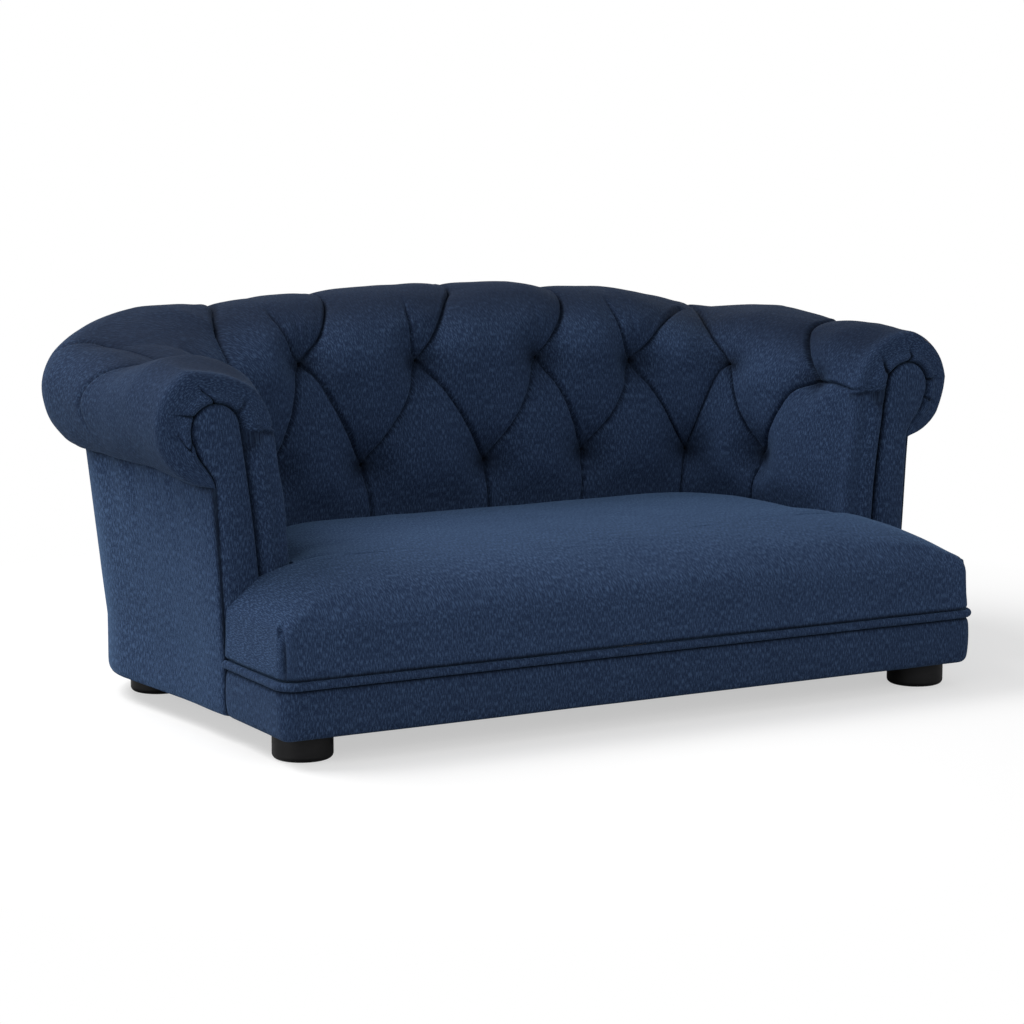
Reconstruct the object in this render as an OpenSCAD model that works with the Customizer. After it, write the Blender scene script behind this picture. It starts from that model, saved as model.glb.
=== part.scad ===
// Dog sofa: a small sofa with a tufted back, rolled arms, a tight crowned seat and four low feet.
// X runs along the sofa, Y from the front to the rear and Z up. The origin lies on the floor, under the
// middle of the sofa. Inside the modules, y counts from the front face of the base.

/* [Overall size] */
// Width over the arm rolls
overall_w = 940; // [900:5:980]
// Depth from the welt at the front to the rear of the back roll
overall_d = 574; // [560:2:600]
// Height of the back roll at the middle
back_h = 416; // [400:2:440]
// Height of the arm rolls
arm_h = 371; // [355:1:390]
// Height of the edge under the rolls
under_z = 258; // [240:2:270]

/* [Base and feet] */
// Width of the base, and of the seat's front edge
base_w = 814; // [790:2:830]
// Radius of the base's front corners, seen from above
corner_r = 32; // [26:1:50]
// Distance that the arms stand back from the base's front
setback = 137; // [110:1:160]
// Height of a foot
foot_h = 27; // [20:1:40]
// Radius of a foot
foot_r = 30; // [24:1:34]
// Rounding of a foot's lower edge
foot_round = 5; // [2:0.5:8]
// Distance from a foot's centre to the base's side
foot_in = 42; // [38:1:50]
// Distance from the base's front to the front feet
foot_front = 48; // [40:1:60]
// Distance from the base's front to the rear feet
foot_rear = 409; // [390:1:430]
// Radius of the welt's cord
welt_r = 4.2; // [3:0.1:5]
// Distance that the welt stands proud of the border
welt_proud = 3.5; // [2:0.1:4]

/* [Seat] */
// Height of the seat's front edge
seat_edge = 138; // [125:1:150]
// Height of the seat's crown
seat_top = 183; // [165:1:195]
// Rounding of the seat's front edge
seat_round = 22; // [12:1:26]

/* [Tufted inside] */
// Half length of the straight part of the back
back_run = 215; // [200:1:225]
// Distance from the base's front to the upper tufts of the back
back_y = 377; // [370:1:385]
// Radius of the inside corners
inside_r = 120; // [110:1:130]
// Distance between two tufts of one row
tuft_step = 132; // [120:1:140]
// Height of the upper tufts above the deck, at the back
tuft_rise = 254; // [240:1:262]
// Depth of the tufts below the crowns between them
tuft_depth = 25; // [10:1:30]

/* [Outside walls] */
// Half length of the straight part of the rear wall
wall_run = 280; // [270:1:290]
// Distance from the base's front to the rear wall at its foot
wall_y = 522; // [510:1:530]
// Radius of the rear corners at the floor
wall_r = 148; // [130:1:155]
// Distance that the rear wall and its corners lean out below the roll
wall_lean = 24; // [0:1:30]
// Radius of the rear corners of the roll, seen from above
roll_corner_r = 143; // [130:1:155]
// Distance from the ridge of the back roll to its rear
back_ridge = 78; // [60:1:85]
// Distance from the ridge of an arm roll to its outer side
arm_ridge = 47; // [40:1:55]

/* [Arm fronts] */
// Radius of the round head of the facing
key_r = 26; // [20:1:30]
// Distance from the head's centre to the sofa's side
key_in = 57; // [54:1:66]
// Distance from the head's centre to the top of the arm
key_down = 60; // [54:1:64]
// Width of the facing's leg at the seat
leg_w = 40; // [36:1:52]
// Distance that the facing's pad stands forward
facing_proud = 6; // [3:0.5:8]
// Distance that the pleated roll end swells forward
end_swell = 8; // [4:0.5:10]
// Number of pleats around a roll end
pleats = 5; // [3:1:7]

/* [Frame] */
// Thickness of the base rails
rail_t = 18; // [15:1:20]
// Height of the base rails
rail_h = 44; // [40:1:48]
// Thickness of the deck
deck_t = 12; // [9:1:15]
// Thickness of the boards in the arms and the back
board_t = 12; // [9:1:14]
// Height of the boards' upper edge
board_top = 300; // [285:1:305]
// Width of the corner blocks
block_w = 95; // [85:1:105]
// Radius of a foot bolt
bolt_r = 4; // [3:0.5:5]
// Thickness of the padded cover on borders and outside panels
cover_t = 5.7; // [4:0.1:7]
// Thickness of the dust cover under the base
dust_t = 1.2; // [0.8:0.1:2]

/* [Hidden] */

// Clearance between a soft piece and its neighbour, and between a bolt and its hole
fit = 0.3;
bolt_fit = 0.1;
// Overrun of every cut
over = 1;

// Levels
frame_z = foot_h + dust_t;
rail_z = frame_z + rail_h;
deck_z = rail_z + deck_t;
welt_z = deck_z - fit - welt_r;
border_z = welt_z - welt_r - fit;
front_y = welt_proud - overall_d / 2;
inset = cover_t + fit;

// Colours
navy = [0.11, 0.16, 0.25];
deep_navy = [0.08, 0.12, 0.19];
ply = [0.74, 0.62, 0.45];
pine = [0.80, 0.68, 0.48];
zinc = [0.72, 0.73, 0.75];
ebony = [0.05, 0.05, 0.06];

// Plan paths. Each is half of a U: a straight back, a round corner and a straight arm. A path holds the
// run of the back, the distance of the back from the front, the corner's radius and its angle.
arm_splay = 80;
wall_splay = 95.3;
inside_path = [back_run, back_y, inside_r, arm_splay];
wall_path = [wall_run, wall_y, wall_r, wall_splay];
roll_path = [overall_w / 2 - roll_corner_r, overall_d - welt_proud, roll_corner_r, 90];

function inner(path, gap) = [path[0], path[1] - gap, path[2] - gap, path[3]];
function arc_point(path, turn) =
    [path[0] + path[2] * sin(turn), path[1] - path[2] + path[2] * cos(turn)];
function arm_point(path, y) =
    let (knee = arc_point(path, path[3]))
    [knee[0] + (knee[1] - y) * cos(path[3]) / sin(path[3]), y];

// Lengths along the inside path, from the middle of the back
corner_len = inside_r * arm_splay * PI / 180;
knee_y = arc_point(inside_path, arm_splay)[1];
half_len = back_run + corner_len + (knee_y - setback) / sin(arm_splay);
function arm_station(y) = half_len - (y - setback) / sin(arm_splay);

// The angle that the outward direction at a station makes with the Y axis. Close to the front it is square.
square_share = 0.85;
function turn_at(s) =
    s <= back_run ? 0 :
    s <= back_run + corner_len ? (s - back_run) / inside_r * 180 / PI :
    let (share = (s - back_run - corner_len) / (half_len - back_run - corner_len))
    arm_splay + (90 - arm_splay) * min(1, share / square_share);
function station_point(s) =
    s <= back_run ? [s, back_y] :
    s <= back_run + corner_len ? arc_point(inside_path, (s - back_run) / inside_r * 180 / PI) :
    arm_point(inside_path, knee_y - (s - back_run - corner_len) * sin(arm_splay));

// Distance from a point to a path, along a direction that points outwards
beyond = 10 * overall_w;
function reach(path, p, d) =
    let (
        to_back = d[1] > 0 ? (path[1] - p[1]) / d[1] : beyond,
        q = p - [path[0], path[1] - path[2]],
        along = q[0] * d[0] + q[1] * d[1],
        to_arc = sqrt(along * along - q * q + path[2] * path[2]) - along,
        hit = q + to_arc * d,
        knee = arc_point(path, path[3]),
        side = [cos(path[3]), -sin(path[3])],
        gap = knee - p,
        to_arm = (gap[0] * side[1] - gap[1] * side[0]) / (d[0] * side[1] - d[1] * side[0])
    )
    p[0] + to_back * d[0] <= path[0] ? to_back :
    hit[1] >= path[2] * cos(path[3]) ? to_arc :
    to_arm;

function smooth(x) = let (c = min(1, max(0, x))) c * c * (3 - 2 * c);
function mix(a, b, share) = a + (b - a) * share;

// How far a station has turned from back, 0, to arm, 1
turn_start_share = 0.415;
turn_end_share = 0.77;
function arm_share(s) =
    smooth((s / half_len - turn_start_share) / (turn_end_share - turn_start_share));

// Crest of the roll, which drops a little towards the corners and then to the arms
crest_sag = 8;
function crest(s) = mix(back_h - crest_sag * pow(min(s, back_run) / back_run, 2), arm_h, arm_share(s));

// The section of the inside, in distances outwards and heights. Its place runs from 0 at the deck over 1
// at the upper tufts, 2 at the ridge and 3 at the outermost point to 4 at the edge under the roll.
low_row = 0.57;
seat_row = 0.35;
// Forward lean of the inside face from the upper tufts to the lower ones, and to the seat
low_lean = 11;
foot_lean = 14;
// Swell of the inside face where it meets the seat
foot_swell = 10;
// Shares of the tufts' depth that the pads keep at the crest and at the arm fronts
crest_share = 0.34;
front_share = 0.4;
widest_share = 0.52;
// Height of the arms' upper tufts, as a share of the back's rule
arm_row_share = 0.98;
function upper_row(s) =
    deck_z + tuft_rise * (crest(s) - deck_z) / (back_h - deck_z) * mix(1, arm_row_share, arm_share(s));
function wall_reach(s, d) = reach(wall_path, station_point(s), d);
function lean(s) = wall_lean * (1 - smooth((s / half_len - turn_end_share) / (1 - turn_end_share)));

function inside_lean(v) =
    -low_lean * smooth((1 - v) / (1 - low_row)) - (foot_lean - low_lean) * smooth((low_row - v) / low_row);
function profile(s, v) =
    let (
        d = [sin(turn_at(s)), cos(turn_at(s))],
        far = reach(roll_path, station_point(s), d),
        wall = wall_reach(s, d) + lean(s),
        ridge = far - mix(back_ridge, arm_ridge, arm_share(s)),
        top = crest(s) - crest_share * tuft_depth * (1 - arm_share(s)),
        widest = under_z + widest_share * (crest(s) - under_z),
        row = upper_row(s)
    )
    v <= 1 ? [inside_lean(v), deck_z + v * (row - deck_z)] :
    v <= 2 ? [ridge - ridge * cos(90 * (v - 1)), row + (top - row) * sin(90 * (v - 1))] :
    v <= 3 ? [ridge + (far - ridge) * sin(90 * (v - 2)), widest + (top - widest) * cos(90 * (v - 2))] :
    [wall + (far - wall) * cos(90 * (v - 3)), widest - (widest - under_z) * sin(90 * (v - 3))];

function facing_out(v) =
    v <= 1 ? [-1, 0] :
    v <= 2 ? [-cos(90 * (v - 1)), sin(90 * (v - 1))] :
    [sin(90 * (v - 2)), cos(90 * (v - 2))];

// Diamond tufting. Tufts lie at whole steps in the lower row and at half steps in the upper row, and
// folds join them. Below the lower row the folds run straight down, and above the upper row they open
// into a V that runs over the roll.
puff_power = 0.7;
fold_share = 0.6;
v_share = 0.22;
gather_share = 0.35;
// Where the folds die out towards the arm fronts, in shares of a step
front_start_share = 3.55;
front_span_share = 0.35;
function ridge_wave(x) = pow(abs(sin(180 * x)), puff_power);
function diamond(s, v) =
    let (
        k = (v - low_row) / (1 - low_row) / 2,
        a = abs(sin(180 * (s / tuft_step + k))),
        b = abs(sin(180 * (s / tuft_step - k)))
    )
    fold_share * pow(a * b, puff_power / 2) + (1 - fold_share) * pow((a * a + b * b) / 2, puff_power / 2);
function over_roll(s, v) =
    let (
        q = abs(s / tuft_step - 0.5 - round(s / tuft_step - 0.5)),
        open = v_share * min(1, v - 1)
    )
    q < open ? gather_share * cos(90 * q / open) * min(1, v - 1) :
    ridge_wave((q - open) / (1 - 2 * open));
function puff(s, v) =
    let (
        front = smooth((s / tuft_step - front_start_share) / front_span_share),
        fade = v <= 2 ? mix(1, crest_share, max(0, v - 1)) : crest_share * max(0, 3 - v),
        calm = v <= 1 ? 1 : 1 - arm_share(s) * smooth(v - 1),
        low = smooth((v - seat_row) / (low_row - seat_row)),
        wave = v <= low_row ? ridge_wave(s / tuft_step) : v <= 1 ? diamond(s, v) : over_roll(s, v)
    )
    mix(foot_swell, tuft_depth * fade * calm * mix(wave, front_share, front), low);

// A point of the inside's skin, and a point of the same station at any distance and height
function place(s, u, z) =
    let (p = station_point(abs(s)), t = turn_at(abs(s)))
    [(s < 0 ? -1 : 1) * (p[0] + u * sin(t)), p[1] + u * cos(t), z];
function skin(s, v) =
    let (q = profile(abs(s), v) + puff(abs(s), v) * facing_out(v))
    place(s, q[0], q[1]);

// The boards inside the wall stand at a distance that grows with the wall's thickness
core_near = 10;
core_share = 1 / 3;
function core_at(s) =
    core_near + core_share * wall_reach(s, [sin(turn_at(s)), cos(turn_at(s))]);

// Places of the section's points
rows = [0, 0.2, 0.35, 0.42, 0.5, 0.57, 0.65, 0.75, 0.86, 1, 1.15, 1.35, 1.55, 1.78, 2, 2.3, 2.65, 3,
    3.35, 3.7, 4];
// The section's end is split from the slot's four corners, each with the stretch of skin that it faces
skin_count = len(rows);
knuckles = [9, 14, 17];
inside_cap = concat(
    fan(skin_count + 3, 0, knuckles[0]),
    [[knuckles[0], skin_count + 2, skin_count + 3]],
    fan(skin_count + 2, knuckles[0], knuckles[1]),
    [[knuckles[1], skin_count + 1, skin_count + 2]],
    fan(skin_count + 1, knuckles[1], knuckles[2]),
    [[knuckles[2], skin_count, skin_count + 1]],
    fan(skin_count, knuckles[2], skin_count - 1)
);
function inside_ring(s) =
    let (c = core_at(abs(s)))
    concat(
        [for (v = rows) skin(s, v)],
        [
            place(s, c + board_t + fit, under_z),
            place(s, c + board_t + fit, board_top + fit),
            place(s, c - fit, board_top + fit),
            place(s, c - fit, deck_z)
        ]
    );

// A closed solid through a list of rings of equal count. A cap holds the triangles that close an end, as
// places in the ring. Where two tips are given, a fan round each tip closes its end.
module loft(rings, cap = [], tips = []) {
    n = len(rings);
    m = len(rings[0]);
    last = (n - 1) * m;
    sides = [for (i = [0:n - 2], j = [0:m - 1])
        let (a = i * m + j, b = i * m + (j + 1) % m)
        each [[a, b, b + m], [a, b + m, a + m]]];
    caps = [for (t = cap) each [[t[2], t[1], t[0]], [last + t[0], last + t[1], last + t[2]]]];
    fans = len(tips) == 0 ? [] : [for (j = [0:m - 1])
        let (k = (j + 1) % m)
        each [[k, j, n * m], [last + j, last + k, n * m + 1]]];
    polyhedron(points = concat([for (ring = rings) each ring], tips), faces = concat(sides, caps, fans));
}
function fan(hub, first, last) = [for (i = [first:last - 1]) [i, i + 1, hub]];

module from_front() {
    translate([0, front_y, 0])
        children();
}

module left_of() {
    mirror([1, 0, 0])
        children();
}

// Plans of the base
module front_plan(gap) {
    w = base_w / 2 - gap;
    r = corner_r - gap;
    translate([-w, corner_r])
        square([2 * w, setback - corner_r]);
    translate([r - w, gap])
        square([2 * (w - r), corner_r]);
    for (side = [-1, 1])
        translate([side * (w - r), corner_r])
            circle(r, $fn = 64);
}

corner_step = 10;
function rear_half(path) =
    concat(
        [arm_point(path, setback)],
        [for (i = [corner_step:-1:0]) arc_point(path, path[3] * i / corner_step)]
    );
module rear_plan(gap) {
    half = rear_half(inner(wall_path, gap));
    polygon(concat(half, [for (i = [len(half) - 1:-1:0]) [-half[i][0], half[i][1]]]));
}

module base_plan() {
    front_plan(inset);
    rear_plan(inset);
}

// Feet and their fastenings
nut_r = 5;
flange_r = 11;
flange_t = 1.5;
bolt_depth = 18;
nut_space = 6;
block_top = rail_z - nut_space;
foot_x = base_w / 2 - foot_in;
function foot_places() =
    [for (side = [-1, 1], y = [foot_front, foot_rear]) [side * foot_x, y]];

module foot(side, y) {
    color(ebony)
        from_front()
            translate([side * foot_x, y, 0])
                difference() {
                    union() {
                        translate([0, 0, foot_round])
                            cylinder(h = foot_h - foot_round, r = foot_r, $fn = 96);
                        rotate_extrude($fn = 96) {
                            square([foot_r - foot_round, foot_round]);
                            intersection() {
                                translate([foot_r - foot_round, foot_round])
                                    circle(foot_round, $fn = 48);
                                square([foot_r, foot_round]);
                            }
                        }
                    }
                    translate([0, 0, foot_h - bolt_depth])
                        cylinder(h = bolt_depth + over, r = bolt_r + bolt_fit, $fn = 48);
                }
}

module front_left_foot() { foot(-1, foot_front); }
module front_right_foot() { foot(1, foot_front); }
module rear_left_foot() { foot(-1, foot_rear); }
module rear_right_foot() { foot(1, foot_rear); }

module foot_bolts() {
    color(zinc)
        from_front()
            for (p = foot_places())
                translate([p[0], p[1], foot_h - bolt_depth])
                    cylinder(h = block_top - foot_h + bolt_depth, r = bolt_r, $fn = 48);
}

module foot_nuts() {
    color(zinc)
        from_front()
            for (p = foot_places())
                translate([p[0], p[1], frame_z])
                    difference() {
                        union() {
                            cylinder(h = block_top - frame_z, r = nut_r, $fn = 48);
                            translate([0, 0, block_top - frame_z])
                                cylinder(h = flange_t, r = flange_r, $fn = 48);
                        }
                        translate([0, 0, -over])
                            cylinder(h = rail_h, r = bolt_r + bolt_fit, $fn = 48);
                    }
}

module dust_cover() {
    color(ebony)
        from_front()
            translate([0, 0, foot_h])
                linear_extrude(dust_t)
                    difference() {
                        base_plan();
                        for (p = foot_places())
                            translate(p)
                                circle(bolt_r + bolt_fit, $fn = 48);
                    }
}

// Base frame
rail_x = base_w / 2 - inset;
block_y = block_w - inset;
rear_block_y = foot_rear - foot_in;

module plank(x, y, w, d, z, h) {
    translate([x, y, z])
        cube([w, d, h]);
}

module front_rail() {
    color(pine)
        from_front()
            difference() {
                plank(block_w - base_w / 2, inset, base_w - 2 * block_w, rail_t, frame_z, rail_h);
                screw_holes();
            }
}

module rear_rail() {
    color(pine)
        from_front()
            difference() {
                plank(-wall_run, wall_y - inset - rail_t, 2 * wall_run, rail_t, frame_z, rail_h);
                screw_holes();
            }
}

module side_rail() {
    plank(rail_x - rail_t, block_w, rail_t, rear_block_y - block_w, frame_z, rail_h);
}

module left_side_rail() {
    color(pine)
        from_front()
            left_of()
                side_rail();
}

module right_side_rail() {
    color(pine)
        from_front()
            side_rail();
}

// Spacing of the deck's screws, with the centre rails midway between them
bay = base_w / 6;
module centre_rails() {
    color(pine)
        from_front()
            for (side = [-1, 1])
                plank(
                    side * bay - rail_t / 2, inset + rail_t, rail_t,
                    wall_y - 2 * (inset + rail_t), frame_z, rail_h
                );
}

// The blocks fill the corners between the rails, and hold the feet
module corner_blocks() {
    color(pine)
        from_front()
            translate([0, 0, frame_z])
                difference() {
                    linear_extrude(block_top - frame_z)
                        for (side = [0, 1])
                            mirror([side, 0]) {
                                intersection() {
                                    front_plan(inset);
                                    translate([base_w / 2 - block_w, 0])
                                        square([block_w, block_w]);
                                }
                                intersection() {
                                    rear_plan(inset);
                                    translate([wall_run, rear_block_y])
                                        square([base_w / 2, wall_y]);
                                }
                            }
                    for (p = foot_places())
                        translate([p[0], p[1], -over])
                            cylinder(h = rail_h + 2 * over, r = nut_r + bolt_fit, $fn = 48);
                }
}

// Deck, with the screws that hold it to the front and rear rails
screw_r = 2;
head_r = 4.2;
head_t = 2.4;
screw_len = 34;
function screw_places() =
    [for (i = [-1.5:1:1.5], y = [inset + rail_t / 2, wall_y - inset - rail_t / 2]) [i * bay, y]];

module screw_holes() {
    for (p = screw_places())
        translate([p[0], p[1], deck_z - screw_len - over])
            cylinder(h = screw_len + 2 * over, r = screw_r + bolt_fit, $fn = 32);
}

module deck_screws() {
    color(zinc)
        from_front()
            for (p = screw_places())
                translate([p[0], p[1], 0]) {
                    translate([0, 0, deck_z - screw_len])
                        cylinder(h = screw_len - head_t, r = screw_r, $fn = 32);
                    translate([0, 0, deck_z - head_t - bolt_fit])
                        cylinder(h = head_t, r = head_r, $fn = 32);
                }
}

module seat_deck() {
    color(ply)
        from_front()
            difference() {
                translate([0, 0, rail_z])
                    linear_extrude(deck_t)
                        base_plan();
                screw_holes();
                for (p = screw_places())
                    translate([p[0], p[1], deck_z - head_t - 2 * bolt_fit])
                        cylinder(h = head_t + over, r = head_r + bolt_fit, $fn = 32);
            }
}

// Boards that stand on the deck, inside the arms, the rear corners and the back
function core_line(s0, s1, n, out) =
    [for (i = [0:n]) let (s = mix(s0, s1, i / n), q = place(s, core_at(abs(s)) + out, 0)) [q[0], q[1]]];
module core_board(s0, s1, n) {
    far = core_line(s0, s1, n, board_t);
    color(ply)
        translate([0, 0, deck_z])
            linear_extrude(board_top - deck_z)
                polygon(concat(core_line(s0, s1, n, 0), [for (i = [n:-1:0]) far[i]]));
}

// Depth of the arm front, from the facing's back to the front of the arm's pad
facing_t = 4;
arm_front_y = setback + facing_t + board_t + 2 * fit;
pad_front_y = arm_front_y + fit;
module back_board() {
    from_front()
        core_board(-back_run, back_run, 2);
}

corner_facets = 12;
module corner_board() {
    core_board(back_run + fit, back_run + corner_len - fit, corner_facets);
}

module left_corner_board() {
    from_front()
        left_of()
            corner_board();
}

module right_corner_board() {
    from_front()
        corner_board();
}

module arm_board() {
    core_board(back_run + corner_len, arm_station(arm_front_y), 8);
}

module left_arm_board() {
    from_front()
        left_of()
            arm_board();
}

module right_arm_board() {
    from_front()
        arm_board();
}

// Outline of the arm front. The skin is the arm pad's own section at the front, and the facing's outline
// runs up the leg, round the head and down to the neck.
key_x = overall_w / 2 - key_in;
key_z = arm_h - key_down;
leg_out = arm_point(wall_path, setback)[0] - inset;
leg_power = 1.6;
neck_rise = 10;
neck_z = under_z + neck_rise;
neck_row = 3.6;
head_start = 180;
head_end = -35;
function front_skin(v) =
    let (q = skin(half_len, v))
    [q[0], q[2]];
function front_normal(v) = v <= 3 ? facing_out(v) : [cos(90 * (v - 3)), -sin(90 * (v - 3))];
function facing_line(v) =
    let (
        z = front_skin(v)[1],
        rise = (z - deck_z) / (key_z - deck_z),
        turn = mix(head_start, head_end, min(1, (v - 1) / (neck_row - 1))),
        head = [key_x + key_r * cos(turn), key_z + key_r * sin(turn)]
    )
    v < 1 ? [mix(leg_out - leg_w, key_x - key_r, pow(rise, leg_power)), z] :
    mix(head, [leg_out, neck_z], max(0, (v - neck_row) / (4 - neck_row)));

end_rows = concat([for (i = [0:6]) i / 6], [for (i = [1:24]) 1 + i / 8]);

// Board behind the facing, which fills the front of the arm
module front_board() {
    color(ply)
        translate([0, setback + facing_t + fit + board_t, 0])
            rotate([90, 0, 0])
                linear_extrude(board_t)
                    polygon(concat(
                        [for (v = end_rows) front_skin(v) - inset * front_normal(v)],
                        [[leg_out, under_z], [leg_out, deck_z]]
                    ));
}

module left_front_board() {
    from_front()
        left_of()
            front_board();
}

module right_front_board() {
    from_front()
        front_board();
}

// Pleated end of the roll: a soft rim that swells between the facing and the roll's edge
pleat_keep = 0.45;
function swell(v) =
    let (share = (v - 1) / 3)
    v < 1 ? pleat_keep * smooth((v - seat_row) / (1 - seat_row)) :
    mix(pleat_keep, 1, pow(abs(sin(180 * pleats * share)), puff_power)) * (1 - smooth(2 * share - 1) / 2);
function end_ring(v) =
    let (
        key = facing_line(v),
        edge = front_skin(v),
        n = front_normal(v),
        rim = edge - cover_t * n,
        a = key + fit * n,
        mid = mix(key, edge, 0.5),
        soft = edge - 2 * fit * n,
        tall = end_swell * swell(v)
    )
    [
        [a[0], setback + facing_t, a[1]],
        [a[0], setback, a[1]],
        [mid[0], setback - tall, mid[1]],
        [soft[0], setback + cover_t / 2, soft[1]],
        [edge[0], arm_front_y, edge[1]],
        [rim[0], arm_front_y, rim[1]],
        [rim[0], setback + facing_t, rim[1]]
    ];
module roll_end() {
    color(navy)
        loft([for (v = end_rows) end_ring(v)], fan(6, 0, 5));
}

module left_roll_end() {
    from_front()
        left_of()
            roll_end();
}

module right_roll_end() {
    from_front()
        roll_end();
}

// Facing: a flat panel shaped like a keyhole, with a raised pad that stops above the seat
facing_step = 4;
pad_foot = seat_edge + seat_round;
module facing_plan(gap) {
    key = [key_x, key_z];
    polygon(concat(
        [for (v = end_rows) if (v < 1) facing_line(v) + [gap, 0]],
        [for (v = end_rows) if (v >= 1 && v <= neck_row) mix(facing_line(v), key, gap / key_r)],
        [[leg_out - gap, neck_z - gap], [leg_out - gap, deck_z]]
    ));
}

module facing() {
    color(navy)
        rotate([90, 0, 0]) {
            translate([0, 0, -setback - facing_t])
                linear_extrude(facing_t)
                    facing_plan(0);
            translate([0, 0, -setback])
                linear_extrude(facing_proud)
                    difference() {
                        facing_plan(facing_step);
                        square([overall_w, pad_foot]);
                    }
        }
}

module left_facing() {
    from_front()
        left_of()
            facing();
}

module right_facing() {
    from_front()
        facing();
}

// Tufted pads. The back runs round both corners up to the last tufts of the corners.
join_s = 2.5 * tuft_step;
back_facets = 40;
arm_facets = 11;
module tufted_back() {
    reach_s = join_s - fit;
    color(navy)
        from_front()
            loft(
                [for (i = [0:back_facets]) inside_ring(mix(-reach_s, reach_s, i / back_facets))],
                inside_cap
            );
}

module tufted_arm() {
    end_s = arm_station(pad_front_y);
    color(navy)
        loft([for (i = [0:arm_facets]) inside_ring(mix(join_s, end_s, i / arm_facets))], inside_cap);
}

module left_tufted_arm() {
    from_front()
        left_of()
            tufted_arm();
}

module right_tufted_arm() {
    from_front()
        tufted_arm();
}

// Outside panels: thin padded walls from the base to the edge under the roll
seam_s = 245;
back_panel_facets = 12;
side_panel_facets = 18;
function panel_ring(s) =
    let (
        a = abs(s),
        foot = wall_reach(a, [sin(turn_at(a)), cos(turn_at(a))]),
        head = foot + lean(a)
    )
    [
        place(s, foot - cover_t, foot_h),
        place(s, foot - cover_t, deck_z),
        place(s, head - cover_t, under_z - fit),
        place(s, head, under_z - fit),
        place(s, foot, deck_z),
        place(s, foot, foot_h)
    ];

panel_cap = [[0, 1, 5], [1, 4, 5], [1, 2, 4], [2, 3, 4]];
module panel(s0, s1, n) {
    color(deep_navy)
        loft([for (i = [0:n]) panel_ring(mix(s0, s1, i / n))], panel_cap);
}

module outside_back_panel() {
    from_front()
        panel(fit - seam_s, seam_s - fit, back_panel_facets);
}

module left_outside_panel() {
    from_front()
        left_of()
            panel(seam_s, half_len, side_panel_facets);
}

module right_outside_panel() {
    from_front()
        panel(seam_s, half_len, side_panel_facets);
}

// Border and welt round the front of the base
module front_border() {
    color(deep_navy)
        from_front()
            translate([0, 0, foot_h])
                linear_extrude(border_z - foot_h)
                    difference() {
                        front_plan(0);
                        front_plan(cover_t);
                        translate([-base_w, setback - fit])
                            square([2 * base_w, setback]);
                        translate([cover_t - base_w / 2, corner_r])
                            square([base_w - 2 * cover_t, setback]);
                    }
}

module welt() {
    line_x = base_w / 2 + welt_proud - welt_r;
    line_y = welt_r - welt_proud;
    run_x = base_w / 2 - corner_r;
    color(deep_navy)
        from_front()
            translate([0, 0, welt_z]) {
                translate([-run_x, line_y, 0])
                    rotate([0, 90, 0])
                        cylinder(h = 2 * run_x, r = welt_r, $fn = 48);
                for (side = [0, 1])
                    mirror([side, 0, 0]) {
                        translate([line_x, corner_r, 0])
                            rotate([-90, 0, 0])
                                cylinder(h = setback - fit - corner_r, r = welt_r, $fn = 48);
                        translate([run_x, corner_r, 0])
                            rotate([0, 0, -90])
                                rotate_extrude(angle = 90, $fn = 96)
                                    translate([line_x - run_x, 0])
                                        circle(welt_r, $fn = 48);
                    }
            }
}

// Seat: one crowned T-shaped cushion. Its rings shrink from the outline towards a point near the front.
core_y = 100;
seat_core = [0, core_y];
ring_shares = [1, 0.985, 0.96, 0.92, 0.86, 0.78, 0.62, 0.4, 0.18];
draw_share = 0.994;
crown_share = 0.96;
seat_fall = 62;
pad_dip = 9;
pad_fade = 26;
side_z_share = 0.45;
seat_path = inner(inside_path, foot_lean + foot_swell + fit);
function seat_half() =
    let (
        w = base_w / 2,
        ear_y = setback - fit,
        knee = arc_point(seat_path, arm_splay)
    )
    concat(
        [for (i = [0:9]) [(w - corner_r) * i / 10, 0]],
        [for (i = [0:6]) [w - corner_r * (1 - sin(90 * i / 6)), corner_r * (1 - cos(90 * i / 6))]],
        [for (i = [1:3]) [w, mix(corner_r, ear_y, i / 3)]],
        [[mix(w, arm_point(seat_path, ear_y)[0], 0.5), ear_y]],
        [for (i = [0:4]) arm_point(seat_path, mix(ear_y, knee[1], i / 5))],
        [for (i = [6:-1:0]) arc_point(seat_path, arm_splay * i / 6)],
        [for (i = [1:4]) [back_run * (1 - i / 5), seat_path[1]]]
    );
function seat_outline() =
    let (half = seat_half(), n = len(half))
    concat(
        [for (i = [0:n - 1]) [-half[i][0], half[i][1]]],
        [[0, seat_path[1]]],
        [for (i = [n - 1:-1:1]) half[i]]
    );

// Distance in from the front and side edges, and the height of the seat there
function edge_gap(p) =
    let (
        x = base_w / 2 - abs(p[0]),
        deep = [corner_r - x, corner_r - p[1]]
    )
    p[1] > setback - fit ? seat_round :
    deep[0] > 0 && deep[1] > 0 ? corner_r - norm(deep) :
    min(x, p[1]);
function seat_height(p, ring) =
    let (
        gap = min(seat_round, max(0, edge_gap(p))),
        drop = seat_round - sqrt(seat_round * seat_round - pow(seat_round - gap, 2)),
        side = 1 - exp((abs(p[0]) - base_w / 2) / seat_fall),
        front = 1 - exp(-p[1] / seat_fall),
        near_pads = p[1] > setback ? exp(-(1 - ring) * inside_r * 2 / pad_fade) : 0
    )
    seat_edge + (seat_top - seat_edge) * side * front / crown_share - drop - pad_dip * near_pads;
function seat_ring(ring) =
    [for (q = seat_outline()) let (p = mix(seat_core, q, ring)) [p[0], p[1], seat_height(p, ring)]];
function seat_wall(z_share, ring) =
    [for (q = seat_outline())
        let (p = mix(seat_core, q, ring))
        [p[0], p[1], mix(deck_z, seat_height(q, 1), z_share)]];

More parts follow.
